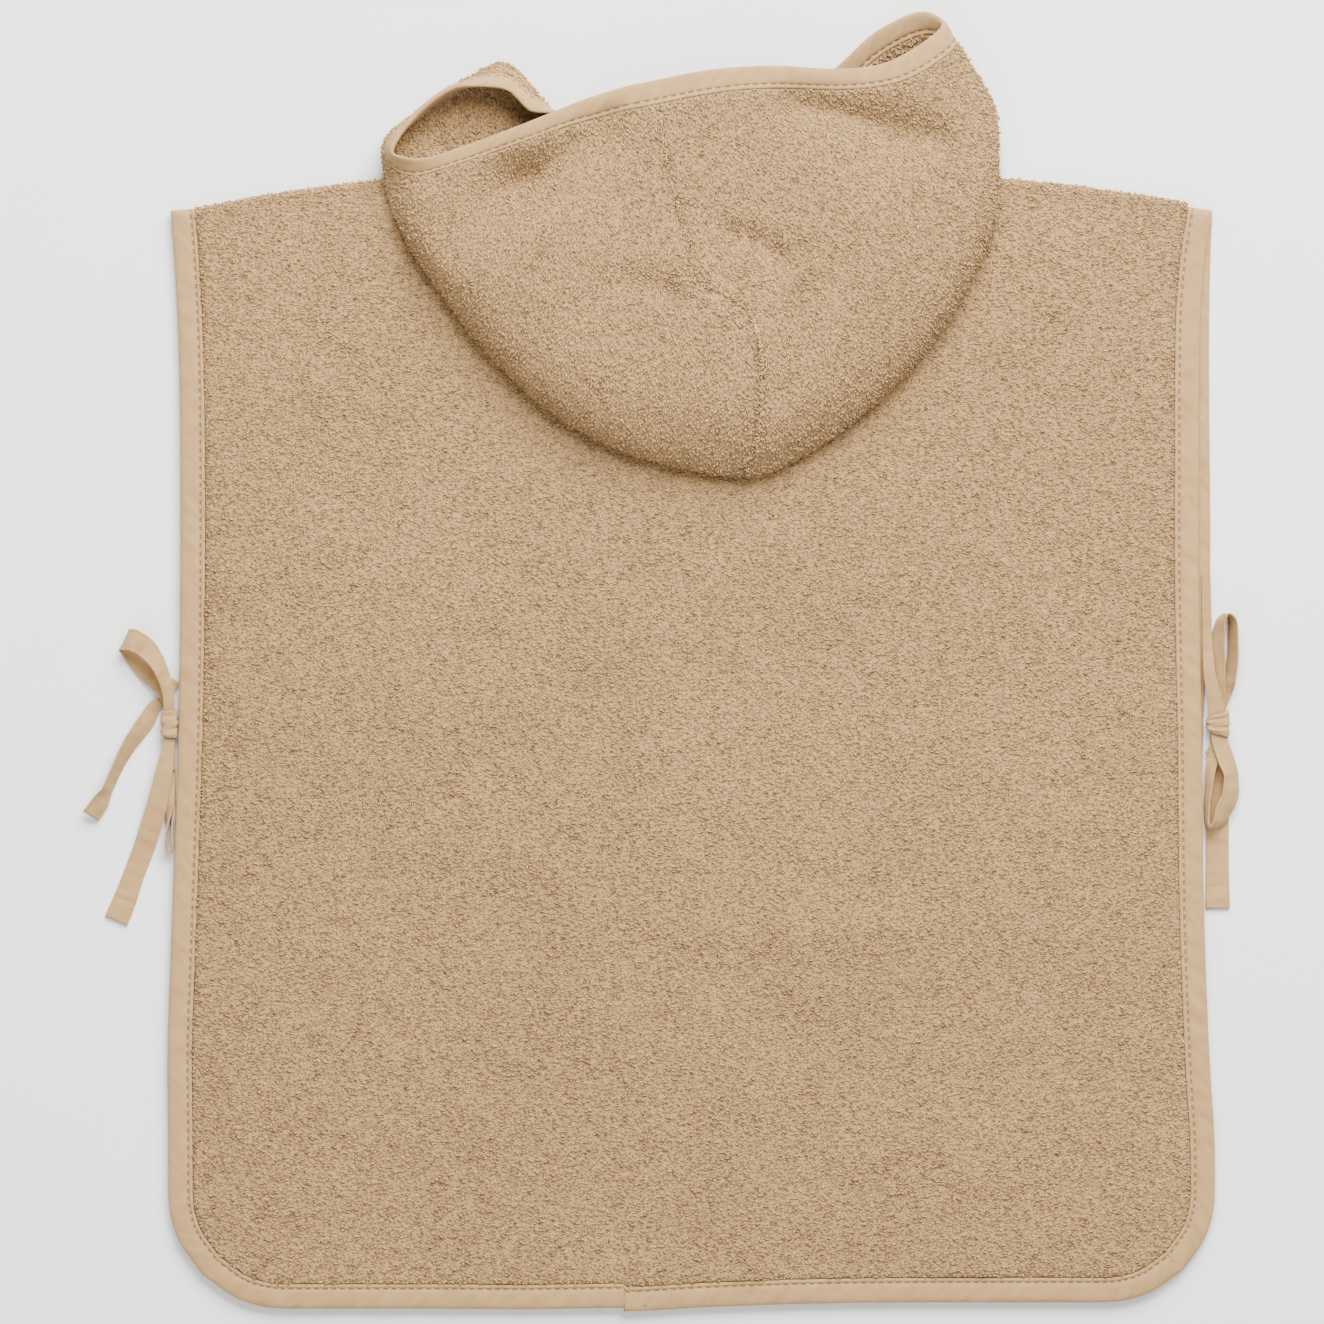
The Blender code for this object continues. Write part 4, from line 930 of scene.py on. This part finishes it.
def tiePiece(name, rows, node, hemmed):
    cut = tieCut
    middle, width, across, face, length = tieFrames(rows)
    along = np.linspace(0, length, cut["stations"])
    intoHem = along - length + cut["hem"]
    hem = cut["hemRise"] * np.clip(intoHem / cut["hemEdge"], 0, 1)
    groove = cut["groove"] * np.exp(-((intoHem - cut["grooveAt"]) / cut["grooveReach"]) ** 2)
    end = 1 + hemmed * (hem - groove)
    knot = knotCut["left" if "Left" in name else "right"]["centre"]
    fromKnot = np.hypot(middle[:, 0] - knot[0], middle[:, 1] - knot[1])
    near = np.exp(-(fromKnot / cut["nearKnot"]) ** 2)
    drift = 2 * wavesAlong(along, cut["driftLength"], cut["driftSeed"])
    layers = [[], []]
    for place, half in cut["profile"]:
        ripple = cut["ripple"] + cut["knotRipple"] * near
        ripple = ripple * np.sin(along / cut["pitch"] + 3 * place + drift)
        spot = middle + (place * width / 2)[:, None] * across
        for layer, side in zip(layers, (1, -1)):
            away = side * half * cut["wall"] * end + ripple * (1 - place ** 2) * cut["rippleShare"]
            layer.append(spot + away[:, None] * face)
    outer, inner = (np.stack(layer, axis=1) for layer in layers)
    for layer, side in ((outer, 1), (inner, -1)):
        layer[:, [0, -1]] += side * cut["lip"] * face[:, None]
        layer[..., 2] = np.maximum(layer[..., 2], cut["floor"])
    flatWidth = np.array([place * cut["flatWidth"] / 2 for place, _ in cut["profile"]])
    piece = clothPiece(name, outer, inner, spread=np.stack(np.meshgrid(flatWidth, along), axis=-1))
    return dress(piece, "tie", node), length


def knotRing(cut, turn, along, thickness):
    # one line of the knot's turn of tape, from end to end of the knot
    both = knotCut
    across = math.copysign(abs(math.cos(turn)) ** both["squareness"], math.cos(turn))
    up = math.copysign(abs(math.sin(turn)) ** both["squareness"], math.sin(turn))
    fullness = 1 - both["drawnIn"] * (2 * abs(along)) ** 5
    wide = 2 * math.pi * cut["wrinkles"] * along + both["ridgeTurn"] * math.sin(turn + 0.7)
    fine = 2 * math.pi * (both["finePitch"] * cut["wrinkles"] * along + both["fineTurn"] * turn)
    ridges = both["ridge"] * np.sin(wide) + both["fine"] * np.sin(fine)
    crown = np.clip(fullness + ridges * fullness, both["thin"], both["thick"])
    narrowed = 1 - cut["pinch"] * (0.5 + 0.5 * math.cos(turn - cut["pinchAt"])) ** 1.5
    slant = cut["slant"] * math.cos(turn) * (2 * along) ** 3
    x = cut["centre"][0] + across * (cut["inside"] + thickness * crown)
    y = cut["centre"][1] + along * cut["length"] * narrowed + slant
    inside = both["height"] / 2 - tieCut["wall"]
    rise = up * (inside + thickness * np.minimum(crown, 1.0 if up < 0 else 2.0))
    return np.column_stack((x, y, both["floor"] + both["height"] / 2 + rise))


def knotPiece(name, side, node):
    along = 0.5 * np.sin(np.linspace(-math.pi / 2, math.pi / 2, knotCut["lines"]))
    turns = np.linspace(0, 2 * math.pi, knotCut["turns"], endpoint=False)
    outer, inner = ([knotRing(knotCut[side], turn, along, thickness) for turn in turns]
                    for thickness in (tieCut["wall"], 0.0))
    return dress(clothPiece(name, outer, inner, ring=True), "tie", node)


tiePieces = {}
for name, key, node, hemmed in (("tieLeftBack", "leftBack", "tie_left_back", 1),
                                ("tieLeftFront", "leftFront", "tie_left_front", 1),
                                ("tieRightBack", "rightBack", "tie_right_back", 1),
                                ("tieRightFront", "rightFront", "tie_right_front", 0)):
    tiePieces[name] = tiePiece(name, tieCut[key], node, hemmed)
knotLeft = knotPiece("knotLeft", "left", "knot_left")
knotRight = knotPiece("knotRight", "right", "knot_right")
print("ties made")

# stitching

stitchCut = {"length": 1.2, "shoulder": 0.75, "thick": 0.24, "above": 0.02, "fromEnds": 4}
stitchShape = {
    "points": [(-stitchCut["length"], 0, -0.3)]
    + [(x, stitchCut["thick"] * math.cos(turn), 0.08 + 0.2 * math.sin(turn))
       for x in (-stitchCut["shoulder"], stitchCut["shoulder"])
       for turn in np.radians((0, 60, 120, 180, 240, 300))]
    + [(stitchCut["length"], 0, -0.3)],
    "faces": [(0, 1 + (turn + 1) % 6, 1 + turn) for turn in range(6)]
    + [(1 + turn, 1 + (turn + 1) % 6, 7 + (turn + 1) % 6) for turn in range(6)]
    + [(1 + turn, 7 + (turn + 1) % 6, 7 + turn) for turn in range(6)]
    + [(13, 7 + turn, 7 + (turn + 1) % 6) for turn in range(6)],
}


def stitchRow(name, line, normals, along):
    # a stitch in the middle of each pitch of the tape's map
    pitch = tapeCut["stitchPitch"]
    places = (np.arange(math.ceil(along[0] / pitch), int(along[-1] / pitch)) + 0.5) * pitch
    spots, ups = pointsAt(places, along, line), unit(pointsAt(places, along, normals))
    sides = unit(pointsAt(places + 0.5, along, line) - pointsAt(places - 0.5, along, line))
    sides = unit(sides - ups * np.sum(sides * ups, axis=1, keepdims=True))
    piece = scatter(name, stitchShape, spots, sides, np.cross(ups, sides), ups)
    return dress(piece, "thread")


stitchHeight = dict(tapeCut["profile"])[tapeCut["stitchAt"]] + stitchCut["above"]


def bodyStitches(name, side, path, along, lift):
    shown = slice(stitchCut["fromEnds"], -stitchCut["fromEnds"])
    level = panelCuts[side]["base"] + bodyCut["terry"] / 2 + stitchHeight
    line = np.column_stack((inward(path, tapeCut["stitchAt"]), level + lift))[shown]
    return stitchRow(name, line, np.tile((0.0, 0.0, 1.0), (len(line), 1)), along[shown])


stitches = {
    "back": [bodyStitches("stitchesBack", "back", backPath, backAlong, backLift)],
    "front": [bodyStitches("stitchesFront", "front", frontPath, frontAlong, frontLift)],
    "hood": [],
}
groove = lipLine + hoodCut["faceLines"].index(tapeCut["stitchAt"])
for name, side in (("stitchesHoodOutside", -1), ("stitchesHoodInside", 1)):
    away = side * hoodNormals[:, groove]
    line = hoodMiddle[:, groove] + side * stitchHeight * hoodNormals[:, groove]
    stitches["hood"].append(stitchRow(name, line, away, hoodTapeAlong))
print("stitching made")

# terry loops, standing on what shows of the terry

loopCut = {
    "points": [(-1.5, 0, -0.2), (0.1, -0.46, 0.05), (0.1, 0.46, 0.05), (0, 0, 0.7), (1.45, 0.3, 0.42)],
    "faces": [(0, 1, 3), (0, 3, 2), (0, 2, 1), (4, 3, 1), (4, 2, 3), (4, 1, 2)],
    "bodyCell": 1.9, "hoodCell": 1.8, "edgeCell": 1.3, "candidates": 4.0,
    "bodySpread": 0.75, "hoodSpread": 0.6, "long": (0.75, 1.3), "wide": (0.8, 1.2),
    # each loop has the least height, up to this much more, and a few of them stand proud
    "high": 0.6, "higher": 0.9, "proud": 1.5,
    "bands": (("loopsShoulders", 70, 400), ("loopsMiddle", -130, 70), ("loopsHem", -400, -130)),
    # loops for each millimetre of the centre seam, how far they stand out and spread
    "seamLoops": 2.2, "seamRise": 0.2, "seamSpread": 0.6,
    # pile shows in the hood where it faces up near the mouth, and outside except low down beneath
    "insideUp": -0.2, "insideFrom": 228, "outsideUp": -0.4, "outsideFrom": 6,
}


def insidePolygon(x, y, polygon):
    inside = np.zeros(len(x), bool)
    for (x0, y0), (x1, y1) in zip(polygon, np.roll(polygon, -1, axis=0)):
        if y0 != y1:
            inside ^= ((y0 > y) != (y1 > y)) & (x < (x1 - x0) * (y - y0) / (y1 - y0) + x0)
    return inside


def loopPlaces(grid, side, cell, seed):
    # even but irregular places on a grid of points, with the way out and the way down the rows
    draw = np.random.default_rng(seed)
    down, across = grid[1:, :-1] - grid[:-1, :-1], grid[:-1, 1:] - grid[:-1, :-1]
    areas = np.linalg.norm(np.cross(down, across), axis=-1).ravel()
    count = int(loopCut["candidates"] * areas.sum() / cell ** 2)
    quads = np.searchsorted(np.cumsum(areas) / areas.sum(), draw.random(count)).clip(0, len(areas) - 1)
    row, column = np.divmod(quads, grid.shape[1] - 1)
    v, u = draw.random((2, count, 1))
    normals = side * unit(np.cross(np.gradient(grid, axis=1), np.gradient(grid, axis=0)))
    runs = np.gradient(grid, axis=1)

    def between(values):
        return ((1 - v) * ((1 - u) * values[row, column] + u * values[row, column + 1])
                + v * ((1 - u) * values[row + 1, column] + u * values[row + 1, column + 1]))

    spots = between(grid)
    cells = np.floor(spots / cell).astype(int)
    cells -= cells.min(axis=0)
    size = cells.max(axis=0) + 1
    key = (cells[:, 0] * size[1] + cells[:, 1]) * size[2] + cells[:, 2]
    _, first = np.unique(key, return_index=True)
    first.sort()
    return spots[first], unit(between(normals))[first], unit(between(runs))[first]


def loopPiece(name, spots, ups, runs, spread, finish, seed):
    draw = np.random.default_rng(seed)
    count = len(spots)
    runs = unit(runs - ups * np.sum(runs * ups, axis=1, keepdims=True))
    turn = draw.normal(0, spread, (count, 1)) + math.pi * draw.integers(0, 2, (count, 1))
    sides = np.cos(turn) * runs + np.sin(turn) * np.cross(ups, runs)
    long, wide = (draw.uniform(*loopCut[key], (count, 1)) for key in ("long", "wide"))
    high = loopCut["high"] + loopCut["higher"] * draw.random((count, 1))
    high = high + loopCut["proud"] * draw.random((count, 1)) ** 6
    piece = scatter(name, loopCut, spots, sides * long, np.cross(ups, sides) * wide, ups * high)
    return dress(piece, finish)


def shoulderRound():
    # the shoulders' rounded edge, from the top of the back panel outward
    turns = np.radians(np.linspace(86, 4, 7))
    out = np.column_stack((0 * turns, np.cos(turns), np.sin(turns) - 1)) * bodyCut["shoulderRound"]
    return backUpper[0] + out[:, None]


def joined(groups):
    return tuple(np.vstack(group) for group in zip(*groups))


def chosen(loops, which):
    return tuple(values[which] for values in loops)


def bodyLoops():
    spots, ups, runs = loopPlaces(backUpper, 1, loopCut["bodyCell"], 11)
    onEdge = loopPlaces(shoulderRound(), 1, loopCut["edgeCell"], 13)
    low, high = bodyCut["neckX"]
    onEdge = chosen(onEdge, (onEdge[0][:, 0] < low) | (onEdge[0][:, 0] > high))
    every = joined(((spots, ups * np.sign(ups[:, 2:]), runs), onEdge))
    # none under the hood
    underPoints = hoodMiddle[:, foldLine]
    onBack = underPoints[:, 2] > hoodLevel - bodyCut["gap"]
    patch = np.vstack((underPoints[onBack][:, :2], hoodMiddle[onBack][::-1, 0, :2]))
    every = chosen(every, ~insidePolygon(every[0][:, 0], every[0][:, 1], patch))
    pieces = []
    for name, low, high in loopCut["bands"]:
        band = chosen(every, (every[0][:, 1] > low) & (every[0][:, 1] <= high))
        pieces.append(loopPiece(name, *band, loopCut["bodySpread"], "loops", 12))
    return pieces


def seamLoops():
    # the pile stands a little higher along the centre seam
    draw = np.random.default_rng(51)
    line = leftOutside[-1, foldLine:lipLine]
    marks = alongOf(line)
    places = np.sort(draw.random(int(marks[-1] * loopCut["seamLoops"]))) * marks[-1]
    spots = pointsAt(places, marks, line)
    ups = unit(pointsAt(places, marks, -hoodNormals[seamRow, foldLine:lipLine]))
    runs = unit(pointsAt(places, marks, np.gradient(line, axis=0)))
    aside = draw.normal(0, loopCut["seamSpread"], (len(spots), 1))
    return spots + loopCut["seamRise"] * ups + aside * np.cross(ups, runs), ups, runs


def hoodLoops(name, outside, inside, seed):
    cut = loopCut
    groups = [loopPlaces(outside[:, foldLine:], -1, cut["hoodCell"], seed)]
    within = loopPlaces(inside, 1, cut["hoodCell"], seed + 1)
    shown = (within[1][:, 2] > cut["insideUp"]) & (within[0][:, 1] > cut["insideFrom"])
    groups.append(chosen(within, shown))
    if name == "loopsHoodLeft":
        groups.append(seamLoops())
    every = joined(groups)
    seen = (every[1][:, 2] > cut["outsideUp"]) | (every[0][:, 2] > cut["outsideFrom"])
    return loopPiece(name, *chosen(every, seen), cut["hoodSpread"], "hoodLoops", seed + 2)


loops = {
    "body": bodyLoops(),
    "hoodLeft": [hoodLoops("loopsHoodLeft", leftOutside, leftInside, 31)],
    "hoodRight": [hoodLoops("loopsHoodRight", rightOutside, rightInside, 41)],
}
loopFaces = sum(len(piece.data.polygons) for group in loops.values() for piece in group)
print("loops made:", loopFaces, "faces")

# each tie's knot is looked up, and nothing is kept

for name, (piece, length) in tiePieces.items():
    knot = knotLeft if "Left" in name else knotRight
    [knot] if name in ("tieLeftBack", "tieRightBack") else []

# floor, light and camera

studio = {
    "floorSize": 8.0, "floorShade": 0.88, "floorChange": 1.02, "worldLight": 0.53,
    "cameraHeight": 5.0, "viewWidth": 0.662, "sensor": 36.0,
    # place, size and power
    "keyLight": ((0.5, 1.7, 1.65), 1.9, 238), "fillLight": ((-0.7, -1.6, 2.2), 2.4, 50),
}


def grey(tone):
    return (tone, tone, tone, 1)


def makeFloor():
    bpy.ops.mesh.primitive_plane_add(size=studio["floorSize"], location=(0, 0, 0))
    floor = bpy.context.object
    floor.name = "floor"
    finish = Finish("pale floor", 0.9)
    paper = finish.noise(finish.add("ShaderNodeTexCoord", output=3), 40)
    tone = studio["floorShade"]
    finish.painted(finish.mixed(paper, grey(tone), grey(tone * studio["floorChange"])))
    floor.data.materials.append(finish.material)


def areaLight(name):
    # a square light that faces the middle of the garment
    place, size, power = studio[name]
    lamp = bpy.data.lights.new(name, "AREA")
    lamp.size, lamp.energy = size, power
    light = linked(name, lamp)
    light.location = place
    light.rotation_euler = (math.atan2(math.hypot(place[0], place[1]), place[2]), 0,
                            math.atan2(place[0], -place[1]))


def makeWorld():
    world = bpy.data.worlds.new("studio")
    bpy.context.scene.world = world
    world.use_nodes = True
    background = world.node_tree.nodes["Background"]
    background.inputs["Color"].default_value = grey(1)
    background.inputs["Strength"].default_value = studio["worldLight"]


def makeCamera():
    data = bpy.data.cameras.new("camera")
    data.sensor_width = studio["sensor"]
    data.lens = studio["sensor"] * studio["cameraHeight"] / studio["viewWidth"]
    data.clip_end = 50.0
    camera = linked("camera", data)
    camera.location = (0, 0, studio["cameraHeight"])
    bpy.context.scene.camera = camera


makeFloor()
areaLight("keyLight")
areaLight("fillLight")
makeWorld()
makeCamera()
print("studio made")
